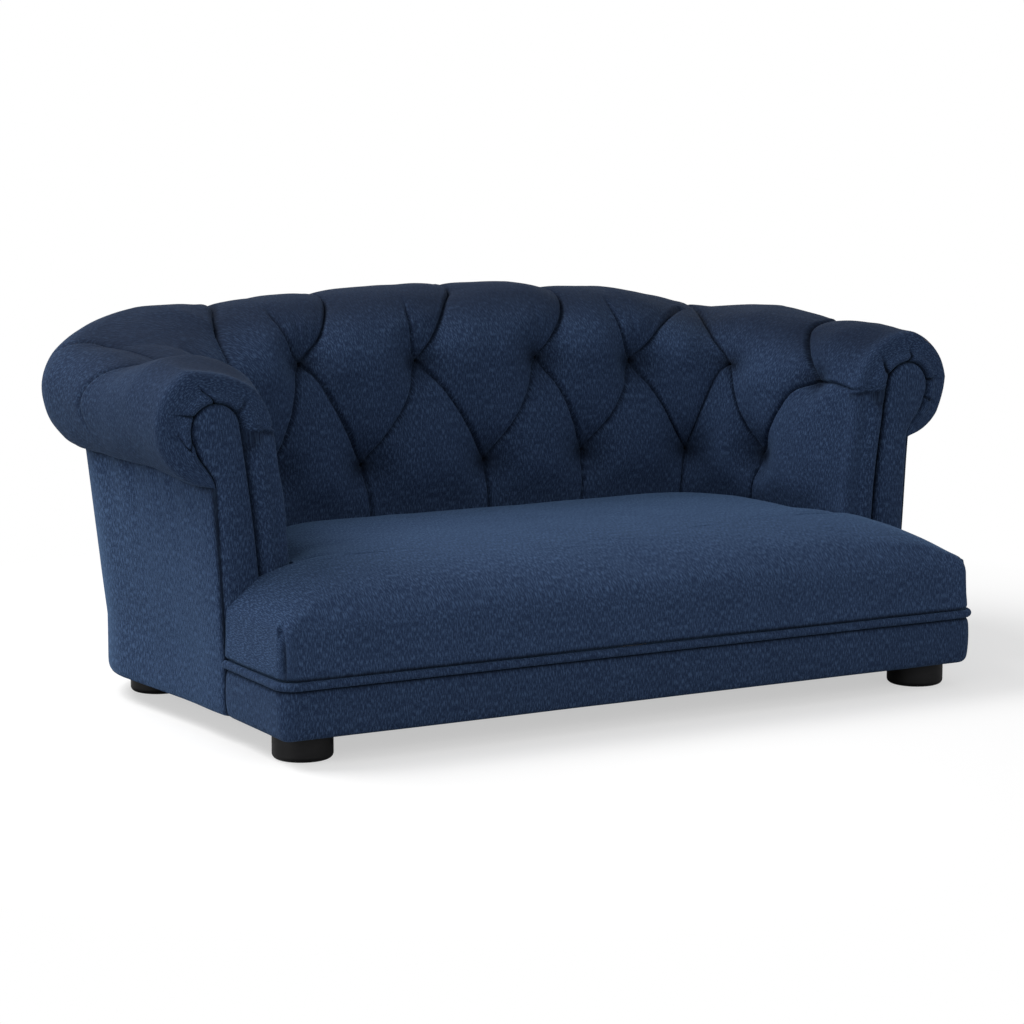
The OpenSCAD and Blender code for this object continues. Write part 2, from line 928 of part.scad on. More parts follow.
module seat_cushion() {
    rings = concat(
        [seat_wall(0, draw_share), seat_wall(side_z_share, 1)],
        [for (share = ring_shares) seat_ring(share)]
    );
    color(navy)
        from_front()
            loft(
                rings,
                tips = [concat(seat_core, [deck_z]), concat(seat_core, [seat_height(seat_core, 0)])]
            );
}

front_rail();
rear_rail();
left_side_rail();
right_side_rail();
centre_rails();
corner_blocks();
seat_deck();
deck_screws();
back_board();
left_arm_board();
right_arm_board();
left_corner_board();
right_corner_board();
left_front_board();
right_front_board();
foot_nuts();
foot_bolts();
front_left_foot();
front_right_foot();
rear_left_foot();
rear_right_foot();
seat_cushion();
front_border();
welt();
tufted_back();
left_tufted_arm();
right_tufted_arm();
left_roll_end();
right_roll_end();
left_facing();
right_facing();
left_outside_panel();
right_outside_panel();
outside_back_panel();
dust_cover();
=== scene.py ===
# %% [markdown]
# # A tufted dog sofa
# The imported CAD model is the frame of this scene: wooden rails, boards, feet and plain soft solids in their
# true places. The lesson dresses it. Each soft solid is replaced by a fuller piece of upholstery that keeps
# to the same rule of shape, and each hard part that shows gets a finish.

import math

import bmesh
import bpy
import numpy as np
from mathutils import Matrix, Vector, geometry, noise


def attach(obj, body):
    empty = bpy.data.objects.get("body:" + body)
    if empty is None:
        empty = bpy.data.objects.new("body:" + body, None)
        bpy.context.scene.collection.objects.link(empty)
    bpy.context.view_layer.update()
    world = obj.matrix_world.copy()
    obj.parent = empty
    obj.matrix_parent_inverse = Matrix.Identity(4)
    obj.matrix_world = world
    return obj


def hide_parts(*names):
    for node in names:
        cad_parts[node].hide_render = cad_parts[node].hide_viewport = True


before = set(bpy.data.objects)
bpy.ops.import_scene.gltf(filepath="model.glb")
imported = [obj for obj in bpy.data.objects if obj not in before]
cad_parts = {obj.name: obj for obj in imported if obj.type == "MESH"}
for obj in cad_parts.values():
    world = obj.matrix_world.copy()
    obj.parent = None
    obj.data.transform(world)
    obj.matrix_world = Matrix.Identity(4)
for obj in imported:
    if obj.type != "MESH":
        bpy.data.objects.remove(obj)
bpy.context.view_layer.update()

# %% [markdown]
# ## Camera
# The photograph was taken with a long lens from the front left, a little above the sofa. A long lens keeps
# the far end nearly as large as the near end. The place and the angles come from matching the sofa's own
# corners, so nothing in the model is bent to suit the picture.

# %% Place the camera
def add_object(name, data):
    thing = bpy.data.objects.new(name, data)
    bpy.context.scene.collection.objects.link(thing)
    return thing


camera_data = bpy.data.cameras.new("camera")
camera_data.lens = 107.1
camera_data.sensor_width = 36.0
camera_data.clip_end = 50.0
camera = add_object("camera", camera_data)
camera.location = (-1.5859, -2.8519, 0.6752)
camera.rotation_euler = (math.pi / 2 - 0.1501, 0.0, -0.5068)
bpy.context.scene.camera = camera
print("Camera at", tuple(camera.location))

# %% [markdown]
# ## Measures of the sofa
# These are the CAD source's own measures, in metres. The plan of the inside is a U: a straight back, a round
# corner and a straight arm on each side. The wall and the roll have a U each, a little further out. Depths
# count from the front face of the base.

# %% Measures
back_h, arm_h, base_w, foot_h, corner_r, setback = 0.416, 0.371, 0.814, 0.027, 0.017, 0.137
under_z, deck_z, front_y = 0.258, 0.0842, -0.2835
back_run, back_y, inside_r, splay = 0.215, 0.377, 0.120, math.radians(80)
# The U of the wall and of the roll: straight run, back, radius of the corner and direction at its end
wall_path = (0.280, 0.522, 0.148, math.radians(95.3))
roll_path = (0.327, 0.5705, 0.143, math.radians(90))
wall_lean, back_ridge, arm_ridge = 0.024, 0.078, 0.047
tuft_rise, tuft_depth, low_row, seat_row = 0.254, 0.025, 0.57, 0.35
welt_r, welt_proud, fit, cover_t = 0.0042, 0.0035, 0.0003, 0.0057
key_r, key_x, key_z, leg_w = 0.026, 0.413, 0.311, 0.040
arm_front, quarter = front_y + setback, math.pi / 2
corner_len = inside_r * splay
knee_y = back_y - inside_r + inside_r * math.cos(splay)
half_len = back_run + corner_len + (knee_y - setback) / math.sin(splay)
print("Half length of the inside:", round(half_len, 4))

# %% [markdown]
# ## Helpers
# Most of the upholstery is a grid of points that follows a rule, so one helper turns such a grid into a mesh.
# It also writes a UV map in metres, named weave. The cloth's threads follow that map, so the streaks of the
# fabric run up the back and over the roll as they do on the real cover.

# %% Numbers and meshes
def smooth(x):
    x = np.clip(x, 0.0, 1.0)
    return x * x * (3 - 2 * x)


def mix(a, b, share):
    return a + (b - a) * share


def bell(x, width, power=2):
    """1 at x = 0, about a third at the width and nearly 0 beyond it."""
    return np.exp(-(x / width) ** power)


def lay_weave(mesh, weave):
    layer = mesh.uv_layers.new(name="weave")
    index = np.empty(len(mesh.loops), dtype=np.int32)
    mesh.loops.foreach_get("vertex_index", index)
    layer.data.foreach_set("uv", np.asarray(weave, dtype=np.float32)[index].ravel())


def add_mesh(name, points, faces, material, weave=None):
    mesh = bpy.data.meshes.new(name)
    mesh.from_pydata([tuple(p) for p in points], [], faces)
    if weave is not None:
        lay_weave(mesh, weave)
    mesh.polygons.foreach_set("use_smooth", [True] * len(mesh.polygons))
    mesh.materials.append(material)
    print(name, len(points), "points")
    return add_object(name, mesh)


def grid_faces(rows, columns, closed=False):
    faces = []
    for i in range(rows - 1):
        for j in range(columns if closed else columns - 1):
            a, b = i * columns + j, i * columns + (j + 1) % columns
            faces.append((a, b, b + columns, a + columns))
    return faces


def vertex_values(mesh, name):
    """All the vertices' places, "co", or normals, "normal", in one array."""
    values = np.empty(len(mesh.vertices) * 3)
    mesh.vertices.foreach_get(name, values)
    return values.reshape(-1, 3)


def outwards(piece):
    mesh = bmesh.new()
    mesh.from_mesh(piece.data)
    bmesh.ops.recalc_face_normals(mesh, faces=mesh.faces)
    mesh.to_mesh(piece.data)
    mesh.free()


def darken(piece, amount, name="painted_shade"):
    """Store a share, 0 to 1, on each point: painted shade, by which the fabric is darker there."""
    layer = piece.data.attributes.new(name, "FLOAT", "POINT")
    layer.data.foreach_set("value", np.asarray(amount, dtype=np.float32))


def dress(piece, slot_name, *nodes):
    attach(piece, "root")
    if nodes:
        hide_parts(*nodes)


print("Mesh helpers ready")

# %% [markdown]
# ## Fabric
# The cover is a heathered navy cloth: dark threads with short paler slubs that run up and down, and a soft
# sheen. Two noises stretched along the warp make the slubs and flecks, a finer one makes the weave, and a
# broad one the uneven dye. All of them read the weave map, so nothing slides over the surface. Noise on
# Object coordinates would be less work, but its threads couldn't turn with the cloth. Two values that are
# stored on the points darken it as well, and both are painted shade: one in the folds, at the tufts and along
# the seams, and one over the top of the roll, where it also weakens the sheen.

# %% Helpers for nodes
def set_inputs(tree, made, inputs):
    """Give a node its inputs: a socket is linked, and any other value is set."""
    for name, value in inputs.items():
        if isinstance(value, bpy.types.NodeSocket):
            tree.links.new(value, made.inputs[name])
        else:
            made.inputs[name].default_value = value


def node(tree, kind, inputs=None, **settings):
    made = tree.nodes.new(kind)
    for name, value in settings.items():
        setattr(made, name, value)
    set_inputs(tree, made, inputs or {})
    return made


def compute(tree, operation, *values):
    return node(tree, "ShaderNodeMath", dict(enumerate(values)), operation=operation).outputs[0]


def span(tree, value, low, high, to_low=0.0, to_high=1.0):
    """Where a value lies between low and high, drawn to another span and kept inside it."""
    ends = {"From Min": low, "From Max": high, "To Min": to_low, "To Max": to_high}
    return node(tree, "ShaderNodeMapRange", {"Value": value, **ends}).outputs["Result"]


def blend(tree, share, first, second):
    return node(tree, "ShaderNodeMix", {0: share, 6: first, 7: second}, data_type="RGBA").outputs[2]


def add_bump(tree, shader, height, strength, distance):
    bump = node(tree, "ShaderNodeBump", {"Height": height, "Strength": strength, "Distance": distance})
    set_inputs(tree, shader, {"Normal": bump.outputs["Normal"]})


def new_material(name):
    material = bpy.data.materials.new(name)
    material.use_nodes = True
    return material, material.node_tree, material.node_tree.nodes["Principled BSDF"]


print("Node helpers ready")

# %% Fabric material
def stretched_noise(tree, source, across, along, detail, offset):
    """Noise with grains of a width and a length in metres. The offset sets it apart from the others."""
    place = node(tree, "ShaderNodeMapping", {
        "Vector": source, "Scale": (1 / across, 1 / along, 1.0), "Location": (offset, offset * 0.37, 0.0)})
    return node(tree, "ShaderNodeTexNoise", {
        "Vector": place.outputs["Vector"], "Scale": 1.0, "Detail": detail, "Roughness": 0.6}).outputs["Fac"]


def tinted(colour, amount):
    return tuple(channel * amount for channel in colour[:3]) + (1.0,)


def make_fabric(name, lift, sheen, roll_shade_level=1.0):
    material, tree, shader = new_material(name)
    threads = node(tree, "ShaderNodeUVMap", uv_map="weave").outputs["UV"]
    slubs = stretched_noise(tree, threads, 0.0010, 0.0058, 1.0, 3.1)
    flecks = stretched_noise(tree, threads, 0.0009, 0.0024, 1.0, 11.7)
    fine = stretched_noise(tree, threads, 0.0008, 0.0011, 1.0, 5.3)
    dye = stretched_noise(tree, threads, 0.045, 0.07, 3.0, 1.9)
    # lift scales the whole colour, so a copy with a higher lift is painted lighter
    deep, navy, pale = (tinted(colour, lift) for colour in (
        (0.0070, 0.0140, 0.0350), (0.0195, 0.0360, 0.0800), (0.0510, 0.0900, 0.1750)))
    colour = blend(tree, span(tree, fine, 0.38, 0.62), deep, navy)
    colour = blend(tree, span(tree, flecks, 0.46, 0.62, 0.0, 0.6), colour, navy)
    colour = blend(tree, span(tree, slubs, 0.48, 0.64, 0.0, 0.72), colour, pale)
    colour = blend(tree, span(tree, dye, 0.35, 0.70, 0.0, 0.16), colour, deep)
    # Near-black that the painted shade in folds, tuft pits and seams is mixed towards
    crease_shade_colour = (0.0010, 0.0022, 0.0050, 1.0)
    # Painted shade over the top of the roll: the colour darkens and the sheen weakens there
    if roll_shade_level < 1:
        painted_roll_shade = node(tree, "ShaderNodeAttribute", attribute_name="painted_roll_shade").outputs["Fac"]
        colour = blend(tree, span(tree, painted_roll_shade, 0.0, 1.0, 0.0, 0.75), colour, tinted(deep, roll_shade_level))
        set_inputs(tree, shader, {"Sheen Weight": span(tree, painted_roll_shade, 0.0, 1.0, sheen, 0.2 * sheen)})
    # Painted shade read from the points: folds, tuft pits and seams are drawn darker
    painted_shade = node(tree, "ShaderNodeAttribute", attribute_name="painted_shade").outputs["Fac"]
    colour = blend(tree, span(tree, painted_shade, 0.0, 1.0, 0.0, 0.88), colour, crease_shade_colour)
    set_inputs(tree, shader, {
        "Base Color": colour, "Roughness": 0.92, "Specular IOR Level": 0.08, "Sheen Weight": sheen,
        "Sheen Roughness": 0.35, "Sheen Tint": (0.30, 0.56, 0.95, 1.0)})
    add_bump(tree, shader, compute(tree, "MULTIPLY_ADD", slubs, 1.2, fine), 0.55, 0.0006)
    return material


# One cloth in three copies: the seat and the outside panels get a lifted colour, 1.22 against 1.06, and more
# sheen, as painted light
fabric = make_fabric("navy_chenille", 1.06, 0.12, 0.50)
seat_fabric = make_fabric("navy_chenille_seat_painted_lighter", 1.22, 0.20)
panel_fabric = make_fabric("navy_chenille_outside_painted_lighter", 1.22, 0.25)
print("Fabrics ready")

# %% [markdown]
# ## Plan and section of the wrap-around pad
# Stations run along the inside of the U, from the left arm front to the right. At each station the section
# goes up the inside face, over the roll and under its edge. Its place is 0 at the deck, 1 at the upper tufts,
# 2 at the ridge, 3 at the outermost point and 4 under the roll. These are the CAD source's own rules.

# %% Plan
def plan(s):
    """Place of a station on the inside U, and the direction outwards there, 0 for the back."""
    turn = np.clip((s - back_run) / inside_r, 0, splay)
    past = np.maximum(0, s - back_run - corner_len)
    px = np.minimum(s, back_run) + inside_r * np.sin(turn) + past * math.cos(splay)
    py = back_y - inside_r + inside_r * np.cos(turn) - past * math.sin(splay)
    share = past / (half_len - back_run - corner_len)
    return px, py, turn + (quarter - splay) * np.minimum(1, share / 0.85)


def reach(path, px, py, direction):
    """Way from the inside U, in its direction outwards, to the U of the wall or of the roll."""
    run, back, radius, end = path
    dx, dy = np.sin(direction), np.cos(direction)
    to_back = np.where(dy > 1e-6, (back - py) / np.maximum(dy, 1e-6), 9.0)
    qx, qy = px - run, py - (back - radius)
    along = qx * dx + qy * dy
    to_arc = np.sqrt(np.maximum(along ** 2 - qx ** 2 - qy ** 2 + radius ** 2, 0)) - along
    gx = run + radius * math.sin(end) - px
    gy = back - radius + radius * math.cos(end) - py
    side = (math.cos(end), -math.sin(end))
    to_arm = (gx * side[1] - gy * side[0]) / (dx * side[1] - dy * side[0])
    on_arc = qy + to_arc * dy >= radius * math.cos(end)
    return np.where(px + to_back * dx <= run, to_back, np.where(on_arc, to_arc, to_arm))


def arm_share(s):
    return smooth((s / half_len - 0.415) / 0.355)


def crest(s):
    return mix(back_h - 0.008 * (np.minimum(s, back_run) / back_run) ** 2, arm_h, arm_share(s))


def settle(s):
    """How far the padding has settled below the drawn crest, not the same left and right, as by hand."""
    stations = [-0.45, -0.40, -0.33, -0.27, 0.10, 0.17, 0.22, 0.26, 0.29, 0.33, 0.38, 0.44, 0.490, 0.526]
    drops = [0.002, 0.013, 0.015, 0.0, 0.0, 0.004, 0.004, 0.014, 0.021, 0.009, 0.005, 0.006, 0.006, 0.003]
    return np.interp(s, stations, drops)


def wall_at(s):
    corner = smooth((s - 0.22) / 0.08) * (1 - smooth((s - 0.42) / 0.08))
    return reach(wall_path, *plan(s)) - 0.003 * corner + 0.002 * smooth((s - 0.45) / 0.06)


def lean_at(s):
    return mix(wall_lean - 0.004 * smooth((s - 0.2) / 0.08), 0.009, smooth((s / half_len - 0.77) / 0.23))


def under_at(s):
    """Height of the roll's lower edge, which rises a little towards the corners."""
    corner = smooth((s - 0.24) / 0.1) * (1 - smooth((s - 0.42) / 0.1))
    return under_z + 0.008 * corner - 0.003 * smooth((s - 0.44) / 0.08)


print("Crest at the arm's front:", round(float(crest(half_len)), 4))

# %% Section
def by_stretch(v, face, rise, fall, tuck):
    """The value of the stretch that each place lies on: inside face, rise, fall or tuck under the roll."""
    return np.select([v <= 1, v <= 2, v <= 3], [face, rise, fall], tuck)


def section(signed, v):
    """Distance outwards and height of a place on the section, before the tufting."""
    s = np.abs(signed)
    px, py, direction = plan(s)
    far = reach(roll_path, px, py, direction)
    wall = reach(wall_path, px, py, direction) + lean_at(s)
    ridge = far - mix(back_ridge, arm_ridge, arm_share(s))
    top = crest(s) - 0.34 * tuft_depth * (1 - arm_share(s)) - settle(signed)
    low_edge = under_at(s)
    widest = low_edge + 0.52 * (top - low_edge)
    row = deck_z + tuft_rise * (crest(s) - deck_z) / (back_h - deck_z) * mix(1, 0.98, arm_share(s))
    lean = -0.011 * smooth((1 - v) / 0.43) - 0.003 * smooth((low_row - v) / low_row)
    rise, fall, tuck = quarter * (v - 1), quarter * (v - 2), quarter * (v - 3)
    out = by_stretch(v, lean, ridge - ridge * np.cos(rise), ridge + (far - ridge) * np.sin(fall),
                     wall + (far - wall) * np.cos(tuck))
    up = by_stretch(v, deck_z + v * (row - deck_z), row + (top - row) * np.sin(rise),
                    widest + (top - widest) * np.cos(fall), widest - (widest - low_edge) * np.sin(tuck))
    return out, up


def facing_out(v):
    """Direction in which the padding swells at a place: its shares outwards and upwards."""
    rise, fall, tuck = quarter * (v - 1), quarter * (v - 2), quarter * (v - 3)
    return (by_stretch(v, -np.ones_like(v), -np.cos(rise), np.sin(fall), np.cos(tuck)),
            by_stretch(v, np.zeros_like(v), np.sin(rise), np.cos(fall), -np.sin(tuck)))


print("Ridge at the middle of the back:", section(np.zeros(1), np.full(1, 2.0))[1].round(4))

# %% [markdown]
# ## Tufting
# A tufted cover is pulled into the padding at each tuft, and the spare cloth between two tufts goes into a
# fold. The folds are drawn first, as curves on the flattened cover: diamonds between the two rows of tufts,
# seams straight down to the seat, and folds that open upwards over the roll. The padding then swells with the
# distance from the nearest fold. Drawing the folds, rather than taking a repeating wave, lets each one bend,
# fade and meet its tuft as a hand-laid fold does.

# %% Folds
upper_tufts = [(-0.455, 1.13), (-0.325, 1.11), (-0.210, 1.11), (-0.071, 1.03), (0.079, 1.01), (0.202, 0.98),
               (0.321, 1.11), (0.452, 1.13)]
lower_tufts = [(-0.381, 0.66), (-0.262, 0.60), (-0.143, 0.59), (0.008, 0.57), (0.133, 0.585), (0.270, 0.59),
               (0.376, 0.65)]
cover_run = [0.0, 0.254, 0.401, 0.515, 0.605]


def run_at(v):
    """Length of the cover from the deck to a place on the section."""
    return np.interp(v, [0, 1, 2, 3, 4], cover_run)


def fold(points, depths, width, lip=1.0):
    """A fold through places on the cover. Depths, shares of the padding's rise, lie along it at even steps."""
    points = np.array(points, dtype=float)
    points[:, 1] = run_at(points[:, 1])
    at = np.concatenate([[0], np.cumsum(np.hypot(*np.diff(points, axis=0).T))])
    even = np.linspace(0, at[-1], max(8, int(at[-1] / 0.006)))
    k = np.clip(np.searchsorted(at, even, side="right") - 1, 0, len(at) - 2)
    t = ((even - at[k]) / (at[k + 1] - at[k]))[:, None]
    padded = np.concatenate([2 * points[:1] - points[1:2], points, 2 * points[-1:] - points[-2:-1]])
    a, b, c, d = padded[k], padded[k + 1], padded[k + 2], padded[k + 3]
    curve = 0.5 * (2 * b + (c - a) * t + (2 * a - 5 * b + 4 * c - d) * t ** 2 + (3 * b - a - 3 * c + d) * t ** 3)
    return curve, np.interp(even / at[-1], np.linspace(0, 1, len(depths)), depths), width, lip


# Diamonds: each lower tuft is joined to the two upper ones beside it, by folds that fall from the upper tuft
# and turn aside on the way
sag = [(-0.004, 0.008), (-0.010, 0.006), (0.009, 0.000), (0.013, 0.005), (0.009, 0.006), (0.008, 0.001),
       (0.000, -0.015), (-0.012, 0.0)]
folds = []
for k, low in enumerate(lower_tufts):
    for high, bulge in ((upper_tufts[k], sag[k][1]), (upper_tufts[k + 1], sag[k + 1][0])):
        middle = [(mix(high[0], low[0], t) + bulge * 4 * t * (1 - t) ** 1.5, mix(high[1], low[1], t))
                  for t in (0.25, 0.5, 0.75)]
        folds.append(fold([high, *middle, low], (1.0, 0.50, 0.42, 0.60, 1.0), 0.056))
    drift = -0.012 * math.copysign(smooth(abs(low[0]) / 0.2), low[0])
    folds.append(fold([low, (low[0] + drift * 0.5, 0.45), (low[0] + drift, 0.2)], (1.0, 0.5, 0.35, 0.2), 0.050))

# Over the roll: each upper tuft has two arms, and the deeper one runs on to the dip between two swells
arm_fold = [(0.453, 1.13), (0.443, 1.23), (0.428, 1.37), (0.407, 1.55), (0.390, 1.75), (0.380, 2.15),
            (0.368, 2.5), (0.364, 3.0), (0.378, 3.5)]
for side in (-1, 1):
    folds.append(fold([(side * u, v) for u, v in arm_fold], (1.0, 0.8, 0.8, 0.9, 0.8, 0.5, 0.25, 0.0), 0.050))
    folds.append(fold([(side * u, v) for u, v in ((0.453, 1.13), (0.490, 1.12), (0.532, 1.04))],
                      (1.0, 0.5, 0.45, 0.4), 0.036))
# Each row: places, depths and width
roll_folds = [
    ([upper_tufts[6], (0.312, 1.23), (0.300, 1.36), (0.290, 1.57), (0.284, 1.80), (0.275, 2.2), (0.270, 2.9)],
     (1.0, 0.75, 0.8, 0.85, 0.8, 0.5, 0.0), 0.050),
    ([upper_tufts[1], (-0.306, 1.25), (-0.288, 1.42), (-0.264, 1.62), (-0.243, 1.90), (-0.236, 2.2),
      (-0.236, 2.9)], (1.0, 0.75, 0.8, 0.85, 0.85, 0.5, 0.0), 0.050),
    ([upper_tufts[1], (-0.336, 1.27), (-0.338, 1.46), (-0.326, 1.64)], (1.0, 0.6, 0.4, 0.0), 0.034),
    ([(-0.386, 1.82), (-0.350, 1.90), (-0.322, 2.05), (-0.312, 2.6)], (0.6, 0.8, 0.8, 0.0), 0.040),
    ([upper_tufts[2], (-0.219, 1.30), (-0.224, 1.53), (-0.221, 1.72)], (1.0, 0.55, 0.35, 0.0), 0.034),
    ([upper_tufts[2], (-0.200, 1.20), (-0.176, 1.40), (-0.146, 1.80), (-0.141, 2.3), (-0.141, 3.0)],
     (1.0, 0.6, 0.7, 0.75, 0.5, 0.0), 0.046),
    ([upper_tufts[3], (-0.076, 1.20), (-0.074, 1.40), (-0.064, 1.66)], (1.0, 0.4, 0.25, 0.0), 0.030),
    ([upper_tufts[3], (-0.046, 1.27), (-0.016, 1.56), (0.012, 1.82), (0.023, 2.2), (0.023, 2.9)],
     (1.0, 0.6, 0.6, 0.6, 0.4, 0.0), 0.046),
    ([upper_tufts[4], (0.102, 1.22), (0.128, 1.48), (0.143, 1.75), (0.145, 2.2), (0.145, 3.0)],
     (1.0, 0.6, 0.7, 0.7, 0.5, 0.0), 0.046),
    ([upper_tufts[5], (0.190, 1.20), (0.189, 1.46), (0.194, 1.66)], (1.0, 0.5, 0.3, 0.0), 0.032),
    ([upper_tufts[5], (0.230, 1.20), (0.258, 1.50), (0.272, 1.72)], (1.0, 0.6, 0.6, 0.3), 0.044)]
folds += [fold(*row) for row in roll_folds]

# Gathers: short shallow creases that fan out above a tuft, within its two arms, and below every tuft
creases = []
for u, v in upper_tufts[1:-1]:
    for turn, length in ((0.10, 0.075), (0.38, 0.060), (0.66, 0.072), (0.98, 0.045)):
        lean = -turn if (u, v) == upper_tufts[6] else turn
        creases.append(fold([(u + 0.010 * lean, v + 0.05), (u + length * 0.5 * lean, v + length * 3.6),
                             (u + length * 0.9 * lean, v + length * 6.4)], (0.10, 0.22, 0.0), 0.011, 0.0))
for u, v in lower_tufts + upper_tufts:
    for turn in (-0.55, -0.20, 0.25, 0.60):
        creases.append(fold([(u + 0.006 * turn, v - 0.02), (u + 0.034 * turn, v - 0.13)], (0.16, 0.0), 0.009, 0.0))
print(len(folds), "folds and", len(creases), "gathers")

# %% [markdown]
# ## Padding between the folds
# The filling pushes the cover out between its folds, steeply beside a fold and then round. In the fold itself
# one side laps over the other, so it has a thin crease with a lip on one side. Sculpting would do for one
# diamond. A rule does it for all of them alike, once the grid is drawn to the folds, so that each crease lies
# on a row of points.

# %% Relief of the padding
crease_depth, crease_width = 0.0034, 0.0013
lip_height, lip_place, lip_width = 0.0010, 0.0040, 0.0024
roll_share, front_share = 0.36, 0.34


def nearest(s, run, curve):
    """For each place of the cover: the way to the nearest point of a fold, its side and how far along it is."""
    best = np.full(s.shape, 9.0)
    way_s, way_r, side, along = (np.zeros(s.shape) for _ in range(4))
    for k in range(len(curve) - 1):
        a, b = curve[k], curve[k + 1]
        d = b - a
        t = np.clip(((s - a[0]) * d[0] + (run - a[1]) * d[1]) / (d @ d), 0, 1)
        gap_s, gap_r = s - a[0] - t * d[0], run - a[1] - t * d[1]
        gap = np.hypot(gap_s, gap_r)
        nearer = gap < best
        best = np.where(nearer, gap, best)
        way_s, way_r = np.where(nearer, gap_s, way_s), np.where(nearer, gap_r, way_r)
        side = np.where(nearer, np.sign(d[0] * gap_r - d[1] * gap_s), side)
        along = np.where(nearer, k + t, along)
    return best, way_s, way_r, side, along


def near_fold(s, run, curve, reach_out):
    return np.nonzero((s > curve[:, 0].min() - reach_out) & (s < curve[:, 0].max() + reach_out)
                      & (run > curve[:, 1].min() - reach_out) & (run < curve[:, 1].max() + reach_out))


def snap(s, run, pull):
    """Draw the grid's places towards the folds, so that a row of points lies along each."""
    for curve, depths, _, _ in folds:
        near = near_fold(s, run, curve, 0.006)
        gap, way_s, way_r, _, along = nearest(s[near], run[near], curve)
        share = 0.85 * np.exp(-(gap / pull) ** 2) * smooth(np.interp(along, range(len(depths)), depths) * 4)
        s[near] -= way_s * share
        run[near] -= way_r * share
    return s, run


def swell(x):
    """Rise of the padding from a fold, 0, to the middle of the pad, 1: steep at the fold and then round."""
    x = np.clip(x, 0, 1)
    return 0.30 * (1 - np.exp(-x * 16)) + 0.70 * (1 - (1 - x) ** 2.2)


def relief(s, run):
    """The padding's rise, 0 to 1, the creases' depth in metres, and the painted shade, 0 to 1, in folds and tuft
    pits.
    """
    height, crease, painted_shade = np.ones(s.shape), np.zeros(s.shape), np.zeros(s.shape)
    for curve, depths, width, lip in folds + creases:
        near = near_fold(s, run, curve, width)
        gap, _, _, side, along = nearest(s[near], run[near], curve)
        depth = np.interp(along, range(len(depths)), depths)
        height[near] *= 1 - depth * (1 - swell(gap / width))
        edge = smooth(depth * 2.5) * lip
        over = bell(gap - lip_place, lip_width) * (side > 0) * lip_height
        crease[near] += edge * (over - crease_depth * bell(gap, crease_width))
        # Painted shade along each fold, darkest in its crease
        dark = edge * ((0.35 + 0.35 * depth) * bell(gap, crease_width) + 0.25 * depth ** 2 * bell(gap, 0.012, 1.3))
        painted_shade[near] = np.maximum(painted_shade[near], dark)
    for u, v in upper_tufts + lower_tufts:
        r = np.hypot(s - u, run - run_at(v))
        height *= 1 - 0.75 * bell(r, 0.013)
        # Painted shade in each tuft's pit
        painted_shade = np.maximum(painted_shade, 0.55 * bell(r, 0.012) + 0.45 * bell(r, 0.024, 1.5))
    return height, crease, painted_shade


def puff(s, v, run):
    """How far the padding stands out from the section. It gets plainer towards the arms' fronts."""
    a = np.abs(s)
    height, crease, painted_shade = relief(s, run)
    front = smooth((a - 0.450) / 0.075)
    past_ridge = roll_share * np.clip(3.6 - v, 0, 1.6) / 1.6
    fade = np.where(v <= 2, mix(1, roll_share, np.clip(v - 1, 0, 1)), past_ridge)
    body = tuft_depth * fade * mix(height, front_share, front)
    low = smooth((v - seat_row) / (low_row - seat_row))
    near_front = smooth((a - 0.510) / 0.015)
    return mix(0.010 + 0.004 * (height - 0.6), body, low) + crease * (1 - near_front), painted_shade


print("Deepest crease, in mm:", crease_depth * 1000)

# %% [markdown]
# ## Arm fronts
# At an arm's front the cover turns round the end of the roll and is pleated in to the edge of the keyhole
# facing. The grid of the pad goes on over that rounded edge: each point of the section travels from the
# roll's outline to the facing's outline.

# %% Outline of the keyhole facing
neck_row, head_start, head_end = 3.6, math.radians(180), math.radians(-35)
front_lean = float(lean_at(half_len))
leg_out = float(wall_at(half_len) + plan(half_len)[0]) - 0.004
neck_x, neck_z = key_x + key_r * math.cos(head_end), key_z + key_r * math.sin(head_end)


def facing_sides(z):
    """Inner and outer edge of the facing at a height."""
    rise = np.clip((z - deck_z) / (key_z - deck_z), 0, 1)
    inner = mix(leg_out - leg_w, key_x - key_r, rise ** 1.6)
    head = key_r * np.sqrt(np.clip(1 - ((z - key_z) / key_r) ** 2, 0, 1))
    leg = leg_out + front_lean * np.clip((z - deck_z) / (under_z - deck_z), 0, 1)
    outer = np.where(z < neck_z, mix(leg, neck_x, smooth((z - under_z + 0.002) / (neck_z - under_z + 0.002))),
                     key_x + head)
    return np.where(z > key_z, key_x - head, inner), outer


def key_line(v):
    """The facing's edge as the pad's front meets it, by the place on the section."""
    z = np.minimum(section(np.full_like(v, half_len), v)[1], key_z)
    turn = mix(head_start, head_end, np.clip((v - 1) / (neck_row - 1), 0, 1))
    leg_z = mix(neck_z, under_z - 0.004, np.clip((v - neck_row) / (4 - neck_row), 0, 1))
    even = deck_z + (key_z - deck_z) * np.clip((z - deck_z) / (z.max() - deck_z), 0, 1)
    rise = mix(z, even, smooth((v - 0.6) / 0.4))
    stretch = [v < 1, v < neck_row]
    x = np.select(stretch, [facing_sides(z)[0], key_x + key_r * np.cos(turn)], facing_sides(leg_z)[1])
    return x, np.select(stretch, [rise, key_z + key_r * np.sin(turn)], leg_z)


print("Outer edge of the facing's leg:", round(leg_out, 4))

# %% [markdown]
# ## Grid of the pad
# The pad's skin is one grid: a row for every 1.8 mm of the inside U, and 316 places on the section. A mesh
# cut by hand would need fewer points, but this one has a row for each fold, and any of its measures can be
# changed. The last four points of each row go round the boards inside, where nobody sees them.

